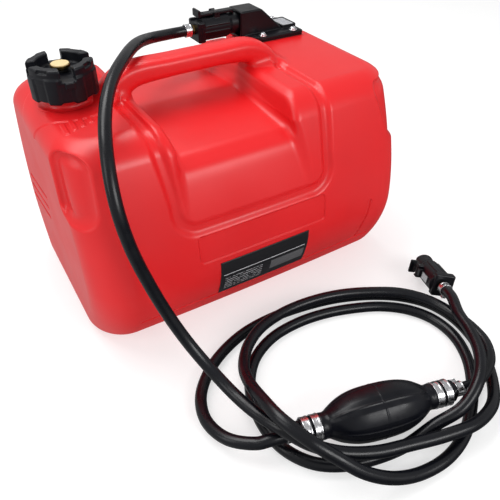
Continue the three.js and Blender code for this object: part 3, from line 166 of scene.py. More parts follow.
IN_PLACE = placing(0, 0, 0)
FIXED_PLACE = placing(24.5, 69, 235)
LOOSE_PLACE = placing(157, -229, 29, 62.5, 17, -80)
BULB_PLACE = placing(-3.5, -308, 24.3, -14.4)


def linked(name, data):
    """A new object in the scene."""
    piece = bpy.data.objects.new(name, data)
    scene.collection.objects.link(piece)
    return piece


# Camera
CAMERA_PLACE = (-0.2364, -0.4811, 0.4276)
CAMERA_YAW, CAMERA_DIP, CAMERA_ROLL = 31.25, 39.79, 0.24
FOCAL_SHARE, SENSOR, CLIP = 541 / 500, 36.0, (0.01, 50.0)
lens = bpy.data.cameras.new("camera")
lens.sensor_width = SENSOR
lens.lens = FOCAL_SHARE * SENSOR
lens.clip_start, lens.clip_end = CLIP
scene.camera = linked("camera", lens)
scene.camera.matrix_world = (
    Matrix.Translation(CAMERA_PLACE)
    @ spin(-CAMERA_YAW, "Z") @ spin(90 - CAMERA_DIP, "X") @ spin(CAMERA_ROLL, "Z")
)

# Hoses. Points of a route without a height lie on the floor.
HOSE_STEP, HOSE_END_X, BULB_HOSE_END_X, HOSE_CUTS, HOSE_LAID = 22.0, -2.6, 74.6, 8, 5.8
HOSE_ONE_ROUTE = [
    (-8, 66, 236), (-35, 50, 241), (-61, 18, 249), (-86, -18, 252), (-110, -51, 248), (-129, -84, 238),
    (-142, -115, 218), (-148, -138, 188), (-146, -150, 154), (-139, -161, 120), (-130, -174, 88),
    (-120, -190, 61), (-110, -213, 42), (-103, -239, 35), (-97, -264, 36), (-89, -288, 40), (-76, -309, 36.5),
    (-56, -325, 30), (-30, -337, 25), (0, -346, 23.5), (31, -355, 23.5), (62, -359.5, 22), (92, -353, 17),
    (118, -335, 9.1), (138, -310, 6.2), (150, -281), (153, -252), (146, -226), (128, -203),
    (101, -184), (67, -169), (30, -160), (-8, -156), (-47, -159), (-82, -171.5),
    (-106, -188, 6.4), (-123, -209, 7.9), (-130, -235, 11.6), (-124, -261, 16.5), (-107, -279, 21),
]
HOSE_TWO_ROUTE = [
    (100.5, -330.5, 25.3), (122, -321.5, 25.8), (137.5, -304, 24.5), (144, -281.5, 22.3), (143.5, -256, 20.6),
    (136.5, -231.5, 20.4), (119, -208.5, 20.8), (93, -190.5, 20.3), (62, -176, 20), (28, -168, 20),
    (-6, -167, 20.3), (-37, -174, 21.5), (-62, -190, 24), (-79, -212, 29), (-88, -237, 40), (-91.5, -264, 51),
    (-90.5, -289, 56), (-81, -313, 52), (-67, -331, 41.5), (-50, -347, 28), (-28, -358, 16), (-2, -364, 7.9),
    (27, -365), (55, -358), (82, -342), (106, -322), (125, -298), (135, -271),
    (133, -244), (120, -221), (99, -203), (72, -190), (40, -180), (6, -176),
    (-28, -180), (-56, -194), (-75, -216), (-85, -242), (-88, -267), (-84, -290),
    (-71, -311), (-50, -325.5), (-24, -334), (5, -339, 7), (34, -341, 17), (60, -345, 29),
    (84, -337, 39.5), (106, -319, 41.5), (122, -295, 40), (133, -270, 38),
]


def through(points, steps):
    """A smooth line through points: centripetal Catmull-Rom, with each stretch cut into steps."""
    points = [np.array(p, float) for p in points]
    padded = [2 * points[0] - points[1], *points, 2 * points[-1] - points[-2]]
    line = []
    for p0, p1, p2, p3 in zip(padded, padded[1:], padded[2:], padded[3:]):
        d0, d1, d2 = (max(np.linalg.norm(b - a), 1e-9) ** 0.5 for a, b in ((p0, p1), (p1, p2), (p2, p3)))
        out = ((p1 - p0) / d0 - (p2 - p0) / (d0 + d1) + (p2 - p1) / d1) * d1
        back = ((p2 - p1) / d1 - (p3 - p1) / (d1 + d2) + (p3 - p2) / d2) * d1
        for t in np.arange(steps) / steps:
            line.append(
                p1 + out * t + (-3 * p1 + 3 * p2 - 2 * out - back) * t**2
                + (2 * p1 - 2 * p2 + out + back) * t**3
            )
    return [*line, points[-1]]


def hose(name, start, route, end):
    """A hose along a route, straight for one step at both ends."""
    ends = [
        [place @ Vector((x + way * HOSE_STEP * n, 0, 0)) for n in (0, 1)]
        for place, x, way in (start, end)
    ]
    middle = MM * np.array([(*point, HOSE_LAID)[:3] for point in route])
    line = through([*ends[0], *middle, *reversed(ends[1])], HOSE_CUTS)
    data = bpy.data.curves.new(name, "CURVE")
    data.dimensions = "3D"
    data.bevel_depth = HOSE_RADIUS * MM
    data.bevel_resolution = 9
    data.use_fill_caps = True
    data.twist_mode = "MINIMUM"
    spline = data.splines.new("POLY")
    spline.points.add(len(line) - 1)
    spline.points.foreach_set("co", np.c_[np.array(line), np.ones(len(line))].ravel())
    spline.use_smooth = True
    return linked(name, data), ends[0][0]


hose_one, hose_one_exit = hose(
    "hose_line_1", (FIXED_PLACE, HOSE_END_X, -1), HOSE_ONE_ROUTE, (BULB_PLACE, -BULB_HOSE_END_X, -1))
hose_two, hose_two_exit = hose(
    "hose_line_2", (BULB_PLACE, BULB_HOSE_END_X, 1), HOSE_TWO_ROUTE, (LOOSE_PLACE, HOSE_END_X, -1))


# Smooth distance fields
def meet(a, b, radius):
    """Inside both fields, with a round edge between them."""
    beyond = np.hypot(np.maximum(a + radius, 0), np.maximum(b + radius, 0))
    return np.minimum(np.maximum(a, b), -radius) + beyond


def join(a, b, radius):
    """Inside either field, with a fillet between them."""
    return -meet(-a, -b, radius)


def less(body, tool, radius):
    """Inside the body and outside the tool, with a round edge between them."""
    return meet(body, -tool, radius)


def within(value, low, high):
    return np.abs(value - (low + high) / 2) - (high - low) / 2


def brick(x, y, z, low, high, radius):
    """A box between two corners with round edges."""
    edges = meet(within(x, low[0], high[0]), within(y, low[1], high[1]), radius)
    return meet(edges, within(z, low[2], high[2]), radius)


def slab(x, y, z, ends, width, heights, radius):
    """A box along x between two ends in either order, centred on y."""
    (start, end), (low, high) = sorted(ends), heights
    return brick(x, y, z, (start, -width / 2, low), (end, width / 2, high), radius)


def aimed(x, y, degrees):
    """How far out along a direction, and how far to its side."""
    way = math.radians(degrees)
    return x * math.cos(way) + y * math.sin(way), y * math.cos(way) - x * math.sin(way)


def stroke(u, v, start, end, half):
    """A round-ended bar between two points of a plane."""
    du, dv = end[0] - start[0], end[1] - start[1]
    share = np.clip(((u - start[0]) * du + (v - start[1]) * dv) / (du * du + dv * dv), 0, 1)
    return np.hypot(u - start[0] - share * du, v - start[1] - share * dv) - half


def outline(u, v, corners, radius):
    """Inside a convex outline, given counterclockwise, with round corners."""
    field = None
    for (u0, v0), (u1, v1) in zip(corners, corners[1:] + corners[:1]):
        long = math.hypot(u1 - u0, v1 - v0)
        side = ((u - u0) * (v1 - v0) - (v - v0) * (u1 - u0)) / long
        field = side if field is None else meet(field, side, radius)
    return field


# Meshes
CORNERS = list(itertools.product((0, 1), repeat=3))
CELL_EDGES = [(a, b) for a, b in itertools.combinations(CORNERS, 2) if sum(np.abs(np.subtract(a, b))) == 1]
BLOCK, BATCH = 4, 4000


def sampled(field, low, counts, cell):
    """The field on a grid. Blocks that a coarse look finds far from the surface keep that look's sign."""
    blocks = -(-counts // BLOCK)
    axes = [low[k] + np.arange(blocks[k] + 1) * BLOCK * cell for k in range(3)]
    rough = field(*np.meshgrid(*axes, indexing="ij"))
    nearest = np.minimum.reduce([
        np.abs(rough[i:i + blocks[0], j:j + blocks[1], k:k + blocks[2]]) for i, j, k in CORNERS])
    values = np.empty(blocks * BLOCK, np.float32)
    view = values.reshape(blocks[0], BLOCK, blocks[1], BLOCK, blocks[2], BLOCK).transpose(0, 2, 4, 1, 3, 5)
    view[:] = rough[:-1, :-1, :-1, None, None, None]
    places = np.argwhere(nearest < 1.3 * BLOCK * cell)
    inner = np.stack(np.meshgrid(*[np.arange(BLOCK)] * 3, indexing="ij"), -1) * cell
    for start in range(0, len(places), BATCH):
        some = places[start:start + BATCH]
        points = (low + some * BLOCK * cell)[:, None, None, None] + inner
        view[tuple(some.T)] = field(*np.moveaxis(points, -1, 0))
    return values


def net(values):
    """Points, in cells, and quads of the surface where the grid's values change sign."""
    inside = values < 0
    size = np.array(values.shape) - 1
    filled = sum(inside[i:i + size[0], j:j + size[1], k:k + size[2]].astype(np.int8) for i, j, k in CORNERS)
    cells = np.argwhere((filled > 0) & (filled < 8))
    total, hits = np.zeros((len(cells), 3)), np.zeros((len(cells), 1))
    for a, b in CELL_EDGES:
        first, last = (values[tuple((cells + corner).T)].astype(float) for corner in (a, b))
        crossed = (first < 0) != (last < 0)
        share = np.where(crossed, first / np.where(crossed, first - last, 1), 0)[:, None]
        total += crossed[:, None] * (np.array(a) + share * np.subtract(b, a))
        hits += crossed[:, None]
    number = np.full(size, -1, np.int32)
    number[tuple(cells.T)] = np.arange(len(cells))
    quads = []
    for axis in range(3):
        u, v = (axis + 1) % 3, (axis + 2) % 3
        change = np.diff(inside.astype(np.int8), axis=axis)
        places = np.argwhere(change)
        step_u, step_v = np.eye(3, dtype=int)[u], np.eye(3, dtype=int)[v]
        around = [number[tuple((places - back).T)] for back in (0, step_u, step_u + step_v, step_v)]
        faces = np.stack(around, 1)
        flip = change[tuple(places.T)] > 0
        faces[flip] = faces[flip][:, ::-1]
        quads.append(faces)
    return cells + total / hits, np.concatenate(quads)


def slope(field, points, reach):
    """The field's gradient at points."""
    steps = np.eye(3) * reach
    return np.stack([
        (field(*(points + s).T) - field(*(points - s).T)) / (2 * reach) for s in steps], 1)


def mesh_object(name, points, faces, matrix, normals=None):
    data = bpy.data.meshes.new(name)
    world = np.array(matrix)
    data.from_pydata((points @ world[:3, :3].T + world[:3, 3]).tolist(), [], faces.tolist())
    data.polygons.foreach_set("use_smooth", np.ones(len(faces), bool))
    if normals is not None:
        turned = normals @ world[:3, :3].T
        turned /= np.linalg.norm(turned, axis=1, keepdims=True)
        data.normals_split_custom_set_from_vertices(turned.tolist())
    return linked(name, data)


def skin(name, field, low, high, matrix=IN_PLACE, cell=MOULDING_CELL):
    """The surface where a field is zero, between two corners that hold it with room to spare."""
    cell *= CELL_SCALE
    low = np.array(low, float) - cell
    counts = np.ceil((np.array(high) + cell - low) / cell).astype(int) + 1
    cells, faces = net(sampled(field, low, counts, cell))
    points = low + cells * cell
    lean = slope(field, points, cell / 8)
    lean /= np.maximum((lean**2).sum(1), 0.05)[:, None]
    for _ in range(3):
        points -= np.clip(lean * field(*points.T)[:, None], -cell / 3, cell / 3)
    return mesh_object(name, points, faces, matrix, slope(field, points, cell / 3))


def turned(name, profile, matrix=IN_PLACE, segments=96, axis="X"):
    """A closed profile of radius and place along the axis, turned round it."""
    angles = np.arange(segments) / segments * 2 * math.pi
    radius, along = np.array(profile, float).T
    ring = np.stack([np.cos(angles), np.sin(angles)], 1)
    points = np.empty((len(profile), segments, 3))
    points[..., 0] = along[:, None]
    points[..., 1:] = radius[:, None, None] * ring[None]
    if axis == "Z":
        points = points[..., [1, 2, 0]]
    number = np.arange(len(profile) * segments).reshape(len(profile), segments)
    here, there = number, np.roll(number, -1, 0)
    faces = np.stack([here, np.roll(here, -1, 1), np.roll(there, -1, 1), there], -1).reshape(-1, 4)
    return mesh_object(name, points.reshape(-1, 3), faces, matrix)


def eased(profile, radius, steps=4):
    """A closed profile with its corners rounded."""
    points = np.array(profile, float)
    soft = []
    for before, corner, after in zip(np.roll(points, 1, 0), points, np.roll(points, -1, 0)):
        sides = [before - corner, after - corner]
        reach = [min(radius, np.linalg.norm(s) * 0.45) for s in sides]
        start, end = (corner + s / np.linalg.norm(s) * r for s, r in zip(sides, reach))
        for t in np.arange(steps + 1) / steps:
            soft.append((1 - t)**2 * start + 2 * t * (1 - t) * corner + t**2 * end)
    return soft


# Tank
def half_width(z):
    above = z > BELLY_HEIGHT
    edge = np.where(above, DECK_WIDTH, BASE_WIDTH) / 2
    span = np.where(above, TANK_HEIGHT - BELLY_HEIGHT, BELLY_HEIGHT)
    share = np.clip(np.abs(z - BELLY_HEIGHT) / span, 0, 1)
    fall = BELLY_WIDTH / 2 - edge
    return BELLY_WIDTH / 2 - fall * share**BULGE_POWER, fall * BULGE_POWER * share**(BULGE_POWER - 1) / span


def tank_form(x, y, z):
    """The tank without its scoop, grooves and marks."""
    half_length = (TANK_LENGTH + (DECK_LENGTH - TANK_LENGTH) * z / TANK_HEIGHT) / 2
    width, lean = half_width(z)
    bow = SIDE_BOW * np.clip(x / (half_length - CORNER_ROUND), -1, 1)**2
    aside = (np.abs(y) - width + bow) / np.hypot(1, lean)
    walls = meet(np.abs(x) - half_length, aside, CORNER_ROUND)
    return meet(meet(walls, z - TANK_HEIGHT, TOP_ROUND), -z, BOTTOM_ROUND)


def softened(table, softness, reach, count=600):
    """A polyline of value against place, rounded over a length, and its slope."""
    places = np.linspace(-reach, reach, count)
    values = np.interp(np.abs(places), *np.array(table, float).T)
    width = int(softness / (2 * reach) * count)
    kernel = np.hanning(width + 2)[1:-1]
    even = np.convolve(np.pad(values, width, mode="edge"), kernel / kernel.sum(), "same")[width:-width]
    return places, even, np.gradient(even, places)


FLOOR_PLACES, FLOOR_HEIGHTS, FLOOR_SLOPES = softened(SCOOP_FLOOR, SCOOP_SOFTNESS, 150)


def scoop(x, y, z):
    floor = np.interp(y, FLOOR_PLACES, FLOOR_HEIGHTS)
    lean = np.interp(y, FLOOR_PLACES, FLOOR_SLOPES)
    half = np.interp(z, *np.array(SCOOP_HALF, float).T)
    return meet((floor - z) / np.hypot(1, lean), np.abs(x - SCOOP_MIDDLE) - half, SCOOP_FILLET)


def sunk(shape, form, depth, share):
    """A shape let into the tank's wall down to a depth, with a bottom edge rounded by a share of it."""
    return meet(shape, -(form + depth), depth * share)


def bib_groove(x, z, form):
    waist = TANK_HEIGHT - BIB_WAIST_DEPTH
    half = np.interp(z, [waist, TANK_HEIGHT], [BIB_FACE_LENGTH / 2, BIB_DECK_LENGTH / 2])
    line = meet(np.abs(x - BIB_MIDDLE) - half, TANK_HEIGHT - BIB_DEPTH - z, BIB_CORNER)
    return sunk(np.abs(line + GROOVE_WIDTH / 2) - GROOVE_WIDTH / 2, form, GROOVE_DEPTH, 0.9)


def pockets(x, y, z, form):
    high = TANK_HEIGHT - POCKET_TOP_DEPTH
    low = high - POCKET_HEIGHT
    side = BELLY_WIDTH / 2 - np.where(y > 0, POCKET_BACK_REACH, POCKET_SIDE_REACH) - np.abs(y)
    right = np.interp(z, [low, high], [POCKET_RIGHT_LOW, POCKET_RIGHT_TOP])
    left = np.interp(z, [low, high], [POCKET_LEFT_LOW, POCKET_LEFT_TOP])
    end = TANK_LENGTH / 2 - np.where(x > 0, right, left) - np.abs(x)
    region = meet(meet(end, low - z, POCKET_LOW_ROUND), z - high, POCKET_ROUND)
    depth = np.where(x > 0, POCKET_RIGHT_DEPTH, POCKET_DEPTH)
    return sunk(meet(region, side, POCKET_ROUND), form, depth, 0.8)


def sunk_marks(x, y, z, form):
    """Front panel, slanted mark, the rows on the left end and the crease above the base."""
    panel = meet(np.abs(x - PANEL_MIDDLE) - PANEL_LENGTH / 2,
                 within(z, PANEL_BOTTOM, PANEL_BOTTOM + PANEL_HEIGHT), PANEL_ROUND)
    low_x = TANK_LENGTH / 2 - MARK_INSET - MARK_LEAN / 2
    mark = stroke(x, z, (low_x, MARK_BOTTOM), (low_x + MARK_LEAN, MARK_BOTTOM + MARK_HEIGHT), MARK_WIDTH / 2)
    front = np.minimum(sunk(panel, form, PANEL_DEPTH, 0.5), sunk(mark, form, MARK_DEPTH, 0.5))
    marks = np.where(y < 0, front, FAR)
    for n in range(BAR_COUNT):
        start, high = BAR_FRONT + n * BAR_SHIFT, BAR_TOP - n * BAR_PITCH
        bar = stroke(y, z, (start, high), (start + BAR_LENGTH, high - BAR_LEAN), BAR_WIDTH / 2)
        marks = np.minimum(marks, np.where(x < 0, sunk(bar, form, BAR_DEPTH, 0.5), FAR))
    crease = sunk(np.abs(z - SEAM_HEIGHT) - SEAM_WIDTH / 2, form, SEAM_DEPTH, 1)
    return np.minimum(marks, meet(crease, np.abs(x) - TANK_LENGTH / 2 + CORNER_ROUND, 3))


def raised_marks(x, y, z, form):
    """Ticks on the deck, the pad round the neck and the seat of the fitting."""
    ticks = np.full(x.shape, FAR)
    for n in range(TICK_COUNT):
        turn = n - (TICK_COUNT - 1) / 2
        left = TICK_X + turn * TICK_PITCH - TICK_LEAN / 2
        front = TICK_Y + turn * TICK_STEP - TICK_LENGTH / 2
        tick = stroke(x, y, (left, front), (left + TICK_LEAN, front + TICK_LENGTH), TICK_WIDTH / 2)
        ticks = np.minimum(ticks, tick)
    ticks = meet(ticks, form - TICK_HEIGHT, TICK_HEIGHT / 2)
    pad = meet(np.hypot(x - NECK_X, y - NECK_Y) - PAD_RADIUS, form - PAD_HEIGHT, PAD_HEIGHT / 2)
    low = TANK_HEIGHT - TOP_ROUND - z
    seat = meet(plate_outline(x, y, SEAT_MARGIN, 4), z - TANK_HEIGHT, 1.5)
    return np.maximum(np.minimum(ticks, pad), low), meet(seat, low, 1)


def plate_outline(x, y, margin, radius):
    left, front = PLATE_LEFT - margin, PLATE_FRONT - margin
    right, back = PLATE_LEFT + PLATE_LENGTH + margin, PLATE_FRONT + PLATE_WIDTH + margin
    return outline(x, y, [
        (left + PLATE_CUT_X, front), (right, front), (right, back), (left, back), (left, front + PLATE_CUT_Y),
    ], radius)


def handle_line():
    """The handle's middle line with its half width and its half thickness below, along fine steps."""
    route = [(HANDLE_MIDDLE + x * HANDLE_SPAN, TANK_HEIGHT + z * HANDLE_RISE) for x, z in HANDLE_ROUTE]
    line = through(route, 5)
    share = np.linspace(0, len(route) - 1, len(line))
    flare, drop = (np.interp(share, range(len(route)), values) for values in (HANDLE_FLARES, HANDLE_DROPS))
    return line, flare * HANDLE_WIDTH / 2, drop * HANDLE_THICKNESS / 2


HANDLE_LINE, HANDLE_HALF, HANDLE_DROP = handle_line()


def handle(x, y, z):
    """Field of the handle, worked out only near it."""
    reach = HANDLE_WIDTH
    near = (np.abs(y) < reach) & (z > TANK_HEIGHT - reach)
    near &= np.abs(x - HANDLE_MIDDLE) < HANDLE_SPAN / 2 + reach
    px, py, pz = x[near], y[near], z[near]
    best, up, place = np.full(px.shape, FAR), np.zeros(px.shape), np.zeros(px.shape)
    for n, ((x0, z0), (x1, z1)) in enumerate(zip(HANDLE_LINE, HANDLE_LINE[1:])):
        du, dv = x1 - x0, z1 - z0
        t = np.clip(((px - x0) * du + (pz - z0) * dv) / (du * du + dv * dv), 0, 1)
        off_x, off_z = px - x0 - t * du, pz - z0 - t * dv
        distance = np.hypot(off_x, off_z)
        closer = distance < best
        best, place = np.where(closer, distance, best), np.where(closer, n + t, place)
        up = np.where(closer, du * off_z - dv * off_x, up)
    half, drop = (np.interp(place, range(len(HANDLE_LINE)), values) for values in (HANDLE_HALF, HANDLE_DROP))
    high = np.where(up > 0, HANDLE_THICKNESS / 2, drop)
    power = ((np.abs(py) / half)**HANDLE_POWER + (best / high)**HANDLE_POWER)**(1 / HANDLE_POWER)
    field = np.full(x.shape, FAR)
    field[near] = (power - 1) * np.minimum(half, high)
    return field


def tank(x, y, z):
    form = tank_form(x, y, z)
    body = less(form, scoop(x, y, z), SCOOP_EDGE)
    body = less(body, bib_groove(x, z, form), 4)
    body = less(body, pockets(x, y, z, form), 2.5)
    body = less(body, sunk_marks(x, y, z, form), 0.6)
    marks, seat = raised_marks(x, y, z, form)
    body = join(join(body, marks, 0.8), seat, 2)
    return join(body, handle(x, y, z), HANDLE_ROOT)


def neck(x, y, z):
    """The filler neck with its thread, flared into the deck."""
    across = np.hypot(x - NECK_X, y - NECK_Y)
    turn = np.arctan2(y - NECK_Y, x - NECK_X) / (2 * math.pi)
    along = (z - THREAD_LOW) / THREAD_PITCH - turn
    off = (along - np.round(along)) * THREAD_PITCH
    ridge = np.clip(THREAD_HALF - np.abs(off), 0, 1) * THREAD_DEPTH
    ridge *= np.clip((z - THREAD_LOW) / 2, 0, 1) * np.clip((NECK_TOP - 1 - z) / 2, 0, 1)
    tube = meet(across - NECK_RADIUS - ridge, z - NECK_TOP, 0.8)
    flare = meet(across - NECK_RADIUS - NECK_FLARE, z - TANK_HEIGHT - PAD_HEIGHT, 1)
    body = np.maximum(join(tube, flare, 4), TANK_HEIGHT - NECK_SINK - z)
    bore = meet(across - NECK_RADIUS + NECK_WALL, TANK_HEIGHT - z, 2)
    return less(body, bore, 0.8)


# Cap and vent
def cap(x, y, z):
    """Fluted skirt, raised rim with notches and dents, a round well and a tab, bored from below."""
    across = np.hypot(x, y)
    valley = np.clip(np.cos(np.arctan2(y, x) * CAP_FLUTES - CAP_FLUTE_TURN) * 1.5 + 0.5, 0, 1)
    heights = within(z, CAP_BOTTOM + valley * CAP_FLUTE_RISE, CAP_SHOULDER + 0.6)
    skirt = meet(across - CAP_RADIUS + valley * CAP_FLUTE_DEPTH, heights, 1.6)
    body = join(skirt, meet(across - CAP_RIM_OUTER, within(z, CAP_UNDER, CAP_TOP), 2.2), 1.5)
    out, side = aimed(x, y, CAP_NOTCH_TURN - 90)
    tab = brick(out, side, z, (CAP_TAB_REACH / 2, -CAP_TAB_WIDTH / 2, CAP_FLOOR - CAP_TAB_HEIGHT),
                (CAP_TAB_REACH, CAP_TAB_WIDTH / 2, CAP_FLOOR + 0.8), 0.8)
    body = less(join(body, tab, 0.5), meet(across - CAP_RIM_INNER, CAP_FLOOR - z, 2), 1.6)
    for n in range(CAP_NOTCHES):
        aim = CAP_NOTCH_TURN + n * 360 / CAP_NOTCHES
        out, side = aimed(x, y, aim)
        notch = meet(np.abs(side) - CAP_NOTCH_WIDTH / 2, CAP_FLOOR - z, 1.2)
        body = less(body, meet(notch, VENT_HEAD - out, 1), 1.2)
        out, side = aimed(x, y, aim + 180 / CAP_NOTCHES)
        dent = meet(np.abs(side) - CAP_DENT_WIDTH / 2, CAP_RIM_OUTER - CAP_DENT_REACH - out, 0.8)
        body = less(body, meet(dent, CAP_TOP - CAP_DENT_DEPTH - z, 0.8), 0.8)
    bore = meet(across - CAP_BORE, z - CAP_UNDER, 1)
    return less(less(body, bore, 0.6), across - VENT_BORE, 0.3)


# Withdrawal fitting
def hood(x, y, z):
    """Hood over the nipple, open to the left."""
    shape = outline(x, z, [
        (HOOD_LEFT, PLATE_BOTTOM + 1), (HOOD_LEFT + HOOD_LENGTH, PLATE_BOTTOM + 1),
        (HOOD_LEFT + HOOD_LENGTH, HOOD_TOE), (HOOD_LEFT + HOOD_TOP_LENGTH, HOOD_TOP), (HOOD_LEFT, HOOD_TOP),
    ], 1.6)
    return meet(shape, np.abs(y - FITTING_Y) - HOOD_WIDTH / 2, 1.8)


def fitting(x, y, z):
    plate = meet(plate_outline(x, y, 0, 3), within(z, PLATE_BOTTOM, PLATE_TOP), 1.1)
    step = within(z, PLATE_BOTTOM, PLATE_TOP + PLATE_STEP)
    step = meet(plate_outline(x, y, -PLATE_STEP_INSET, 2), step, 0.5)
    body = join(join(plate, step, 0.4), hood(x, y, z), 1.2)
    along, aside = np.abs(x - WINDOW_X) - WINDOW_LENGTH / 2, np.abs(y - FITTING_Y) - WINDOW_WIDTH / 2
    rim = meet(along - WINDOW_FRAME, aside - WINDOW_FRAME, 2)
    body = join(body, meet(rim, within(z, PLATE_BOTTOM + 1, WINDOW_TOP), 0.7), 0.8)
    space = meet(np.abs(y - FITTING_Y) - HOOD_WIDTH / 2 + HOOD_WALL, x - HOOD_BACK, 1)
    body = less(body, meet(space, within(z, PLATE_TOP, HOOD_TOP - HOOD_WALL), 1), 0.4)
    return less(body, np.maximum(meet(along, aside, 1), PLATE_TOP - z), 0.4)


def screw(x, y, z):
    """Domed cross-head screw on its washer, seen from above; z = 0 is the washer's seat."""
    across = np.hypot(x, y)
    washer = meet(across - WASHER_RADIUS, within(z, 0, WASHER_HEIGHT), 0.3)
    dome = meet(np.hypot(across, z + DOME_SINK) - DOME_RADIUS, across - HEAD_RADIUS, 0.3)
    head = join(washer, np.maximum(dome, -z), 0.2)
    arms = [meet(np.abs(a) - CROSS_WIDTH / 2, np.abs(b) - CROSS_LENGTH / 2, 0.2) for a, b in ((x, y), (y, x))]
    return less(head, np.maximum(np.minimum(*arms), CROSS_FLOOR - z), 0.15)


# Quick connector
def crossing(x, z, pivot):
    return np.hypot(x - pivot, z - LEVER_HEIGHT)


def connector_body(pivot, front, rear, way):
    tab_end, hook_end = pivot + way * rear, pivot - way * front
    ear_in = LEVER_WIDTH / 2 + SEAT_GAP
    nose_start = CONNECTOR_LENGTH - NOSE_LENGTH
    travel = rear * math.sin(math.radians(LEVER_SWING)) + LEVER_PLAY
    hook_swing = (LEVER_THICKNESS / 2 + LEVER_HOOK) * math.sin(math.radians(LEVER_SWING))

    def field(x, y, z):
        across = np.hypot(y, z)
        radius = np.interp(x, [nose_start - RIB_INSET, nose_start], [BARREL_RADIUS, NOSE_RADIUS])
        barrel = meet(across - radius, within(x, REAR_LENGTH / 2, CONNECTOR_LENGTH), 1.2)
        pitch = RIB_SPREAD_SHARE * 2 * math.pi / RIB_COUNT
        turn = np.arctan2(y, -z)
        off = (turn / pitch - np.floor(turn / pitch) - 0.5) * pitch * across
        rib = meet(np.abs(off) - RIB_WIDTH / 2, across - BARREL_RADIUS - RIB_HEIGHT, 0.5)
        rib = meet(rib, within(x, REAR_LENGTH - 1, nose_start - RIB_INSET), 0.5)
        rib = np.where(np.abs(turn) < RIB_SPREAD_SHARE * math.pi, rib, FAR)
        block = slab(x, y, z, (0, REAR_LENGTH), REAR_WIDTH, (-BARREL_RADIUS, REAR_TOP), 2)
        lip = meet(across - NOSE_RADIUS - 0.6, within(x, CONNECTOR_LENGTH - 3, CONNECTOR_LENGTH), 0.6)
        body = join(join(join(barrel, rib, 0.6), block, 1), lip, 0.6)
        under, beyond = LEVER_HEIGHT - LEVER_THICKNESS / 2, tab_end + way * OPEN
        hub, hook = LEVER_HUB + LEVER_PLAY, LEVER_HOOK + LEVER_PLAY
        swung = hook_end - way * (hook_swing + LEVER_PLAY)
        slots = [
            slab(x, y, z, ends, width + 2 * LEVER_PLAY, (low, OPEN), radius) for ends, width, low, radius in (
                ((pivot + way * LEVER_HUB, beyond), LEVER_WIDTH, under - travel, 0.5),
                ((tab_end - way * LEVER_THICKNESS * 1.5, beyond), LEVER_TAB_WIDTH, under - travel, 0.5),
                ((swung, hook_end + way * hook), LEVER_WIDTH, under - hook, 0.2))
        ]
        slots.append(slab(x, y, z, (pivot - hub, pivot + hub), 2 * ear_in, (LEVER_HEIGHT - hub, OPEN), 0.3))
        body = less(body, np.minimum.reduce(slots), 0.5)
        ear = brick(x, np.abs(y), z, (pivot - EAR_LENGTH / 2, ear_in, REAR_TOP / 2),
                    (pivot + EAR_LENGTH / 2, ear_in + EAR_THICKNESS, LEVER_HEIGHT + LEVER_HUB), 1)
        body = join(body, ear, 0.5)
        socket = meet(across - SOCKET_RADIUS, CONNECTOR_LENGTH - SOCKET_DEPTH - x, 0.8)
        bore = meet(across - SEAT_RADIUS, CHAMBER_END - x, 0.5)
        return less(body, np.minimum(socket, bore), 0.8)

    return field


def lever(pivot, front, rear, way):
    tab_end, hook_end = pivot + way * rear, pivot - way * front
    low, high = LEVER_HEIGHT - LEVER_THICKNESS / 2, LEVER_HEIGHT + LEVER_THICKNESS / 2

    def field(x, y, z):
        bar = slab(x, y, z, (tab_end, hook_end), LEVER_WIDTH, (low, high), 0.9)
        hook = slab(x, y, z, (hook_end, hook_end + way * LEVER_HOOK), LEVER_WIDTH,
                    (low - LEVER_HOOK, LEVER_HEIGHT), 0.5)
        hub = meet(crossing(x, z, pivot) - LEVER_HUB, np.abs(y) - LEVER_WIDTH / 2, 0.4)
        tab = slab(x, y, z, (tab_end, tab_end - way * LEVER_THICKNESS), LEVER_TAB_WIDTH,
                   (low, LEVER_HEIGHT + LEVER_TAB), 1)
        along = (x - tab_end) * way + GRIP_INSET
        grip = np.abs(along - GRIP_PITCH * np.round(along / GRIP_PITCH)) - GRIP_WIDTH / 2
        grip = meet(grip, np.abs(along) - GRIP_LENGTH / 2, 0.2)
        grip = meet(grip, meet(np.abs(y) - LEVER_WIDTH / 2 + 1, z - high - GRIP_HEIGHT, 0.2), 0.2)
        body = join(join(bar, hook, 0.5), join(hub, tab, 0.8), 0.8)
        body = join(body, np.maximum(grip, low - z), 0.2)
        return less(body, crossing(x, z, pivot) - PIN_RADIUS - SEAT_GAP, 0.2)

    return field


def pin(pivot):
    half = LEVER_WIDTH / 2 + SEAT_GAP + EAR_THICKNESS
    return lambda x, y, z: meet(crossing(x, z, pivot) - PIN_RADIUS, np.abs(y) - half, 0.3)


# Clamps and bulb
def hose_clamp(x, y, z):
    """A band with its ear, centred on x = 0."""
    inside = HOSE_RADIUS + SEAT_GAP
    outside = inside + CLAMP_THICKNESS
    rolled = CLAMP_ROLL * np.clip((np.abs(x) - CLAMP_WIDTH / 2 + 1.2) / 0.5, 0, 1)
    band = within(np.hypot(y, z), inside, outside - CLAMP_ROLL + rolled)
    band = meet(band, np.abs(x) - CLAMP_WIDTH / 2, 0.3)
    ear = brick(x, y, z, (-CLAMP_EAR / 2, outside - CLAMP_THICKNESS / 2, -CLAMP_EAR / 2),
                (CLAMP_EAR / 2, outside + 3, CLAMP_EAR / 2), 0.8)
    waist = np.hypot(np.abs(z) - CLAMP_EAR / 2 - 0.6, y - outside - 1) - 1.2
    dent = np.hypot(x, y - outside - 3.6) - 1.3
    return join(band, less(less(ear, waist, 0.3), dent, 0.3), 0.4)


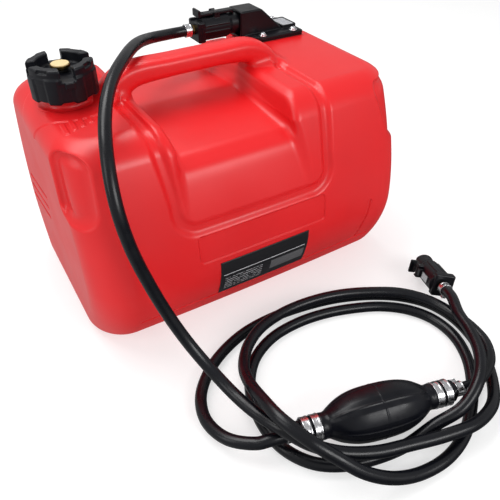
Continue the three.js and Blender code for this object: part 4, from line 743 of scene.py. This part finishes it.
def bulb(x, y, z):
    """Squeeze bulb with moulded panels, a waist line and ribbed necks, along x."""
    across = np.hypot(y, z)
    share = np.clip(np.abs(x) / BULB_HALF, 0, 1)
    radius = BULB_RADIUS * (1 - (1 - BULB_END_SHARE) * share**BULB_POWER)
    turn = np.arctan2(z, y) * BULB_PANELS / (2 * math.pi) + 0.25
    part = (turn - np.round(turn)) * 2 * math.pi
    ridge = BULB_RIDGE * np.exp(-(part / BULB_PANELS * across / BULB_RIDGE_WIDTH)**2)
    ridge *= np.clip((1 - share) * 5, 0, 1)
    flat = BULB_FLAT * np.abs(np.cos(part)) * (1 - share**4)
    waist = BULB_WAIST * np.exp(-(x / 0.8)**2)
    body = meet(across - radius - ridge + flat - waist + 0.6, np.abs(x) - BULB_HALF - 1.5, 5)
    swell = 0.8 * np.exp(-((np.abs(x) - BULB_HALF - 5.5) / 3)**2)
    middle, reach = BULB_NECK_END - BAND_INSET - BAND_WIDTH - BAND_GAP / 2, BAND_GAP / 2 - 0.4
    lip = np.interp(np.abs(x), [middle - reach, middle, middle + reach], [0, BULB_LIP, 0])
    sleeve = meet(across - BULB_NECK_RADIUS - lip - swell, np.abs(x) - BULB_NECK_END, 0.6)
    return join(body, sleeve, 4)


def bulb_collar(x, y, z):
    """Collar of a bulb's hose fitting with its flats, along +x."""
    across = np.hypot(y, z)
    collar = meet(across - BULB_COLLAR, within(x, BULB_NECK_END + SEAT_GAP, BULB_COLLAR_END), 0.7)
    flats = np.maximum(np.abs(y), np.abs(z)) - BULB_COLLAR + 0.9
    stem = meet(across - 6.0, within(x, BULB_NECK_END - 6, BULB_COLLAR_END), 0.3)
    return join(meet(collar, flats, 0.8), stem, 0.3)


# Materials
def fill(node, **inputs):
    """Fills a node's inputs, by name or number, from values or sockets."""
    for key, value in inputs.items():
        socket = node.inputs[int(key[1:]) if key[0] == "i" and key[1:].isdigit() else key.replace("_", " ")]
        if isinstance(value, bpy.types.NodeSocket):
            node.id_data.links.new(value, socket)
        else:
            socket.default_value = value
    return node


def wire(tree, kind, settings=None, **inputs):
    """Adds a node with settings and inputs."""
    node = tree.nodes.new(kind)
    for key, value in (settings or {}).items():
        setattr(node, key, value)
    return fill(node, **inputs)


def maths(operation, a, b=0.0):
    return wire(a.id_data, "ShaderNodeMath", {"operation": operation}, i0=a, i1=b).outputs[0]


def noise(place, scale, detail=3.0):
    return wire(place.id_data, "ShaderNodeTexNoise", Vector=place, Scale=scale, Detail=detail).outputs["Fac"]


def spread(value, low, high, start=0.3, end=0.7, kind="LINEAR"):
    """A stretch of a value, or else a noise's usual one, spread from low to high."""
    return wire(value.id_data, "ShaderNodeMapRange", {"interpolation_type": kind}, Value=value,
                From_Min=start, From_Max=end, To_Min=low, To_Max=high).outputs["Result"]


def mixed(share, first, second):
    """Two colours, each a value or a socket, mixed by a share."""
    return wire(share.id_data, "ShaderNodeMix", {"data_type": "RGBA"}, Factor=share, A=first,
                B=second).outputs["Result"]


class Finish:
    """A material with mottled colour, uneven gloss and a fine bump, all in object coordinates."""

    def __init__(self, name, colour, roughness, metallic=0.0, specular=0.5, mottle=0.06, mottle_scale=60,
                 gloss_spread=0.05, grain_scale=900, grain=0.15, grain_depth=0.00004):
        self.name, self.material = name, bpy.data.materials.new(name)
        self.material.use_nodes = True
        self.tree = self.material.node_tree
        self.shader = self.tree.nodes["Principled BSDF"]
        self.place = wire(self.tree, "ShaderNodeTexCoord").outputs["Object"]
        dark, light = ([*(min(c * (1 + way * mottle), 1) for c in colour), 1] for way in (-1, 1))
        self.colour = mixed(spread(noise(self.place, mottle_scale), 0, 1), dark, light)
        smears, height = noise(self.place, mottle_scale * 2.3), noise(self.place, grain_scale, 2)
        bump = wire(self.tree, "ShaderNodeBump", Strength=grain, Distance=grain_depth, Height=height)
        fill(self.shader, Base_Color=self.colour, Metallic=metallic, Specular_IOR_Level=specular,
             Roughness=spread(smears, roughness - gloss_spread, roughness + gloss_spread),
             Normal=bump.outputs["Normal"])

    def cover(self, share, colour):
        """Lays a plain colour over the mottled one where the share says so."""
        fill(self.shader, Base_Color=mixed(share, self.colour, (*colour, 1)))

    def parts(self):
        """The object coordinates one by one."""
        return wire(self.tree, "ShaderNodeSeparateXYZ", Vector=self.place).outputs

    def paint(self, obj):
        obj.data.materials.clear()
        obj.data.materials.append(self.material)
        return obj


def strip(value, middle, half):
    """One inside a strip of a coordinate, else nothing."""
    return maths("LESS_THAN", maths("ABSOLUTE", maths("SUBTRACT", value, middle)), half)


def red_shell():
    """Moulded polyethylene: a soft gloss over faint flow marks, with a little light in the wall."""
    finish = Finish("red_shell", (0.70, 0.010, 0.013), 0.34, specular=0.45, mottle=0.05, mottle_scale=9,
                    gloss_spread=0.04, grain_scale=650, grain=0.25, grain_depth=0.00006)
    fill(finish.shader, Subsurface_Weight=0.12, Subsurface_Radius=(0.006, 0.001, 0.001), Subsurface_Scale=0.6)
    return finish


def sticker():
    """Plain black film with light rules: a frame line, rows of hairlines and a grey field."""
    finish = Finish("sticker", (0.012, 0.012, 0.014), 0.42, specular=0.4)
    across, _, up = finish.parts()
    (x0, z0), (x1, z1) = [[v * MM for v in corner] for corner in (LABEL_LOW, LABEL_HIGH)]
    width, height = x1 - x0, z1 - z0

    def patch(middle_x, middle_z, half_x, half_z):
        """One inside a rectangle that is given in shares of the label."""
        return maths("MULTIPLY", strip(across, x0 + width * middle_x, width * half_x),
                     strip(up, z0 + height * middle_z, height * half_z))

    rows = maths("LESS_THAN", maths("PINGPONG", maths("SUBTRACT", up, z0), height * 0.035), height * 0.009)
    ragged = maths("GREATER_THAN", noise(finish.place, 420, 1), 0.42)
    text = maths("MULTIPLY", maths("MULTIPLY", rows, patch(0.26, 0.30, 0.21, 0.22)), ragged)
    field = maths("MULTIPLY", patch(0.77, 0.36, 0.20, 0.15), 0.12)
    marks = maths("MAXIMUM", maths("MULTIPLY", text, 0.55), field)
    finish.cover(maths("MAXIMUM", patch(0.5, 0.62, 0.47, 0.008), marks), (0.75, 0.75, 0.78))
    return finish


def brushed_steel():
    """Bright strip metal with fine rolling lines and small dark scuffs."""
    finish = Finish("steel", (0.70, 0.70, 0.72), 0.24, metallic=1.0, mottle=0.12, mottle_scale=300,
                    gloss_spread=0.08, grain_scale=1400, grain=0.3, grain_depth=0.00005)
    scuffs = maths("GREATER_THAN", noise(finish.place, 700, 4), 0.66)
    finish.cover(maths("MULTIPLY", scuffs, 0.5), (0.16, 0.15, 0.14))
    return finish


def clear_window():
    finish = Finish("clear_lens", (0.72, 0.73, 0.76), 0.16, grain=0.02)
    fill(finish.shader, Transmission_Weight=0.6, IOR=1.45)
    return finish


def dial_face():
    """Pale dial with dark ticks across its long way."""
    finish = Finish("dial_white", (0.62, 0.62, 0.66), 0.5, mottle=0.03)
    across, along, _ = finish.parts()
    low = (FITTING_Y - WINDOW_WIDTH / 2) * MM
    ticks = maths("PINGPONG", maths("SUBTRACT", along, low), WINDOW_WIDTH * MM / 8)
    edge = strip(across, (WINDOW_X + WINDOW_LENGTH / 2 - 3) * MM, 0.0015)
    finish.cover(maths("MULTIPLY", maths("LESS_THAN", ticks, 0.0003), edge), (0.03, 0.03, 0.03))
    return finish


BLACK = {"gloss_spread": 0.06, "grain_depth": 0.00005}
FINISHES = {finish.name: finish for finish in (
    red_shell(), sticker(), brushed_steel(), dial_face(), clear_window(),
    Finish("black_plastic", (0.0032, 0.0032, 0.0052), 0.34, specular=0.27, mottle=0.15, mottle_scale=90,
           grain_scale=1500, grain=0.35, **BLACK),
    Finish("cap_plastic", (0.0040, 0.0044, 0.0072), 0.40, specular=0.30, mottle=0.12, mottle_scale=80,
           grain_scale=1700, grain=0.4, **BLACK),
    Finish("seal_rubber", (0.006, 0.006, 0.006), 0.62, specular=0.25),
    Finish("bulb_rubber", (0.0028, 0.0032, 0.0056), 0.32, specular=0.26, mottle=0.2, mottle_scale=70,
           grain_scale=800, grain=0.2, **BLACK),
    Finish("hose_rubber", (0.0030, 0.0034, 0.0056), 0.28, specular=0.33, mottle=0.2, mottle_scale=45,
           grain_scale=600),
    Finish("brass", (0.16, 0.10, 0.035), 0.34, metallic=1.0, mottle=0.15, grain_scale=1500),
    Finish("cream_plastic", (0.74, 0.56, 0.29), 0.42, mottle=0.04, mottle_scale=200),
    Finish("needle_red", (0.5, 0.01, 0.01), 0.5),
    Finish("strainer_grey", (0.48, 0.49, 0.46), 0.6, grain_scale=2500, grain=0.8),
)}


def dress(piece, finish, *nodes, body="tank", slot=None):
    """Paints a piece, sets it on its body and lets it stand for CAD nodes."""
    slot = slot or finish
    FINISHES[finish].paint(piece)
    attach(piece, body)
    if nodes:
        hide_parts(*nodes)
    return piece


# Packed pieces that stay take the finish of their material slot
for entry in frame["record"]["subparts"]:
    FINISHES[entry["material_slot"]].paint(frame["nodes"][entry["node"]])

# Tank, neck and label
half_length, half_depth = TANK_LENGTH / 2 + 2, BELLY_WIDTH / 2 + 3
dress(skin("tank_skin", tank, (-half_length, -half_depth, -2), (half_length, half_depth, TANK_HEIGHT + 30),
           cell=TANK_CELL), "red_shell", "tank_body")
neck_reach = NECK_RADIUS + 9
dress(skin("neck_skin", neck, (NECK_X - neck_reach, NECK_Y - neck_reach, TANK_HEIGHT - 4),
           (NECK_X + neck_reach, NECK_Y + neck_reach, NECK_TOP + 1)), "red_shell")


def label_sheet():
    """A thin sheet that follows the front face."""
    x, z = np.meshgrid(*map(np.linspace, LABEL_LOW, LABEL_HIGH, LABEL_GRID), indexing="ij")
    width, lean = half_width(z)
    bow = SIDE_BOW * (x / (TANK_LENGTH / 2 - CORNER_ROUND))**2
    points = np.concatenate([
        np.stack([x, bow - width - proud * np.hypot(1, lean), z], -1).reshape(-1, 3)
        for proud in (LABEL_PROUD, LABEL_PROUD - LABEL_THICKNESS)])
    number = np.arange(x.size).reshape(x.shape)
    front = np.stack([number[:-1, :-1], number[1:, :-1], number[1:, 1:], number[:-1, 1:]], -1).reshape(-1, 4)
    rim = np.concatenate([number[:, 0], number[-1, 1:], number[-2::-1, -1], number[0, -2:0:-1]])
    edge = np.stack([rim, rim + x.size, np.roll(rim, -1) + x.size, np.roll(rim, -1)], -1)
    faces = np.concatenate([front, front[:, ::-1] + x.size, edge])
    return mesh_object("label_sheet", points, faces, IN_PLACE)


dress(label_sheet(), "sticker", "tank_label")

# Cap and vent
CAP_PLACE = placing(NECK_X, NECK_Y, 0)
cap_reach = CAP_TAB_REACH + 1
dress(skin("cap_skin", cap, (-cap_reach, -cap_reach, CAP_BOTTOM - 1), (cap_reach, cap_reach, CAP_TOP + 1),
           CAP_PLACE), "cap_plastic", "cap_shell", body="cap", slot="black_plastic")
well, well_floor = VENT_DISC + SEAT_GAP, VENT_HEAD_TOP - 1
vent_profile = [
    (AXIS, VENT_TIP), (VENT_SHANK, VENT_TIP), (VENT_SHANK, VENT_SEAT), (VENT_SHOULDER, VENT_SEAT),
    (VENT_SHOULDER, VENT_HEAD_LOW), (VENT_HEAD, VENT_HEAD_LOW), (VENT_HEAD, VENT_HEAD_TOP),
    (well, VENT_HEAD_TOP), (well, well_floor), (AXIS, well_floor),
]
dress(turned("vent_head", eased(vent_profile, 0.5), CAP_PLACE, axis="Z"), "brass", "vent_screw", body="vent")
disc_low = well_floor + SEAT_GAP
disc_profile = [(AXIS, disc_low), (VENT_DISC, disc_low), (VENT_DISC, VENT_DISC_TOP), (AXIS, VENT_DISC_TOP)]
dress(turned("vent_face", eased(disc_profile, 0.35), CAP_PLACE, axis="Z"), "cream_plastic", "vent_disc",
      body="vent")

# Withdrawal fitting and its screws
dress(skin("fitting_skin", fitting, (HOOD_LEFT - 1, PLATE_FRONT - 1, PLATE_BOTTOM - 1),
           (PLATE_LEFT + PLATE_LENGTH + 1, PLATE_FRONT + PLATE_WIDTH + 1, HOOD_TOP + 1)),
      "black_plastic", "fitting_base")
for n, (x, y) in enumerate(SCREW_PLACES):
    dress(skin(f"screw_head_{n + 1}", screw, (-5, -5, -0.5), (5, 5, 4.2),
               placing(x, y, SCREW_SEAT, 25 + 40 * n), SMALL_CELL), "steel", f"fitting_screw_{n + 1}")

# Connectors
for letter, place, shape in (("a", FIXED_PLACE, LEVER_A), ("b", LOOSE_PLACE, LEVER_B)):
    box = (-2, -14, -15), (CONNECTOR_LENGTH + 2, 14, 22)
    dress(skin(f"connector_{letter}_skin", connector_body(*shape), *box, place),
          "black_plastic", f"connector_{letter}_body")
    dress(skin(f"connector_{letter}_grip", lever(*shape), *box, place),
          "black_plastic", f"connector_{letter}_lever", body=f"lever_{letter}")
    dress(skin(f"connector_{letter}_pivot", pin(shape[0]), (shape[0] - 3, -9, 11), (shape[0] + 3, 9, 18),
               place, SMALL_CELL), "steel", f"connector_{letter}_pin")

# Bulb with its bands, collars and hose clamps
dress(skin("bulb_skin", bulb, (-72, -26, -26), (72, 26, 26), BULB_PLACE, BULB_CELL),
      "bulb_rubber", "bulb_body")
for name, degrees in (("inlet", 180), ("outlet", 0)):
    place = BULB_PLACE @ spin(degrees, "Z")
    for n in (0, 1):
        end = BULB_NECK_END - BAND_INSET - n * (BAND_WIDTH + BAND_GAP)
        start = end - BAND_WIDTH
        inside = BULB_NECK_RADIUS + SEAT_GAP
        outside = inside + CLAMP_THICKNESS
        waist = outside - BAND_GROOVE
        band = [
            (inside, start), (outside, start), (outside, start + 1.2), (waist, start + 1.6),
            (waist, end - 1.6), (outside, end - 1.2), (outside, end), (inside, end),
        ]
        dress(turned(f"bulb_{name}_hoop_{n + 1}", eased(band, 0.3), place),
              "steel", f"bulb_{name}_band_{n + 1}")
    dress(skin(f"bulb_{name}_collar", bulb_collar, (62, -11, -11), (76, 11, 11), place),
          "black_plastic", f"bulb_{name}_fitting")

clamp_middle = CLAMP_INSET + CLAMP_WIDTH / 2
clamps = {
    letter: dress(skin(f"clamp_{letter}", hose_clamp, (-5, -10, -10), (5, 14, 10),
                       place @ Matrix.Translation((x, 0, 0)), SMALL_CELL), "steel", f"hose_clamp_{letter}")
    for letter, place, x in (
        ("a", FIXED_PLACE, HOSE_END_X - clamp_middle), ("b", BULB_PLACE, -BULB_HOSE_END_X - clamp_middle),
        ("c", BULB_PLACE, BULB_HOSE_END_X + clamp_middle), ("d", LOOSE_PLACE, HOSE_END_X - clamp_middle))
}

# The hoses are painted and set on the tank; the pieces of the bulb and of the loose connector are gathered
dress(hose_one, "hose_rubber", "hose_1")
dress(hose_two, "hose_rubber", "hose_2")
bulb_pieces, loose_pieces = (
    [o for o in scene.objects if o.name.startswith(start) and not o.hide_render]
    for start in ("bulb_", "connector_b_"))
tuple(hose_one_exit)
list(bulb_pieces)
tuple(hose_two_exit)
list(loose_pieces)

# Floor and light
FLOOR_HALF, PAPER_GLOW, SKY = 40.0, 0.55, 0.5
CARD_WAY, CARD_DARK, CARD_LIGHT = (-0.85, 0.5, 0), 0.10, 0.5


def area_light(name, place, target, size, power):
    data = bpy.data.lights.new(name, "AREA")
    data.shape = "RECTANGLE"
    data.size, data.size_y = size
    data.energy = power
    light = linked(name, data)
    light.location = place
    light.rotation_euler = (Vector(target) - Vector(place)).to_track_quat("-Z", "Y").to_euler()


# Soft boxes in an even surround. Below the horizon the surround is only met in reflections.
world = bpy.data.worlds.new("studio")
world.use_nodes = True
scene.world = world
tree = world.node_tree
way = wire(tree, "ShaderNodeTexCoord").outputs["Generated"]
up = wire(tree, "ShaderNodeSeparateXYZ", Vector=way).outputs["Z"]
aside = wire(tree, "ShaderNodeVectorMath", {"operation": "DOT_PRODUCT"}, i0=way, i1=CARD_WAY)
card = spread(aside.outputs["Value"], CARD_DARK, CARD_LIGHT, -0.2, 0.7, "SMOOTHSTEP")
low = maths("MULTIPLY", card, maths("LESS_THAN", up, 0.0))
high = maths("MULTIPLY", maths("GREATER_THAN", up, 0.0), SKY)
fill(tree.nodes["Background"], Strength=maths("ADD", low, high), Color=(1, 1, 1, 1))
area_light("top_box", (-0.25, 0.45, 1.45), (0, -0.05, 0.1), (1.4, 0.7), 16.5)
area_light("side_box", (-1.4, -0.1, 0.9), (0, -0.1, 0.1), (0.6, 0.9), 4)
area_light("front_box", (0.35, -1.5, 1.0), (0, -0.1, 0.1), (1.0, 0.5), 12.5)

corners = FLOOR_HALF * np.array([(-1, -1, 0), (1, -1, 0), (1, 1, 0), (-1, 1, 0)])
floor = mesh_object("floor", corners, np.array([(0, 1, 2, 3)]), Matrix.Identity(4))
paper = Finish("paper", (0.5, 0.5, 0.5), 0.8, specular=0.0, mottle=0.01, grain=0.0)
fill(paper.shader, Emission_Color=(1, 1, 1, 1), Emission_Strength=PAPER_GLOW)
paper.paint(floor)
floor.visible_glossy = False
scene.view_settings.view_transform = "Standard"
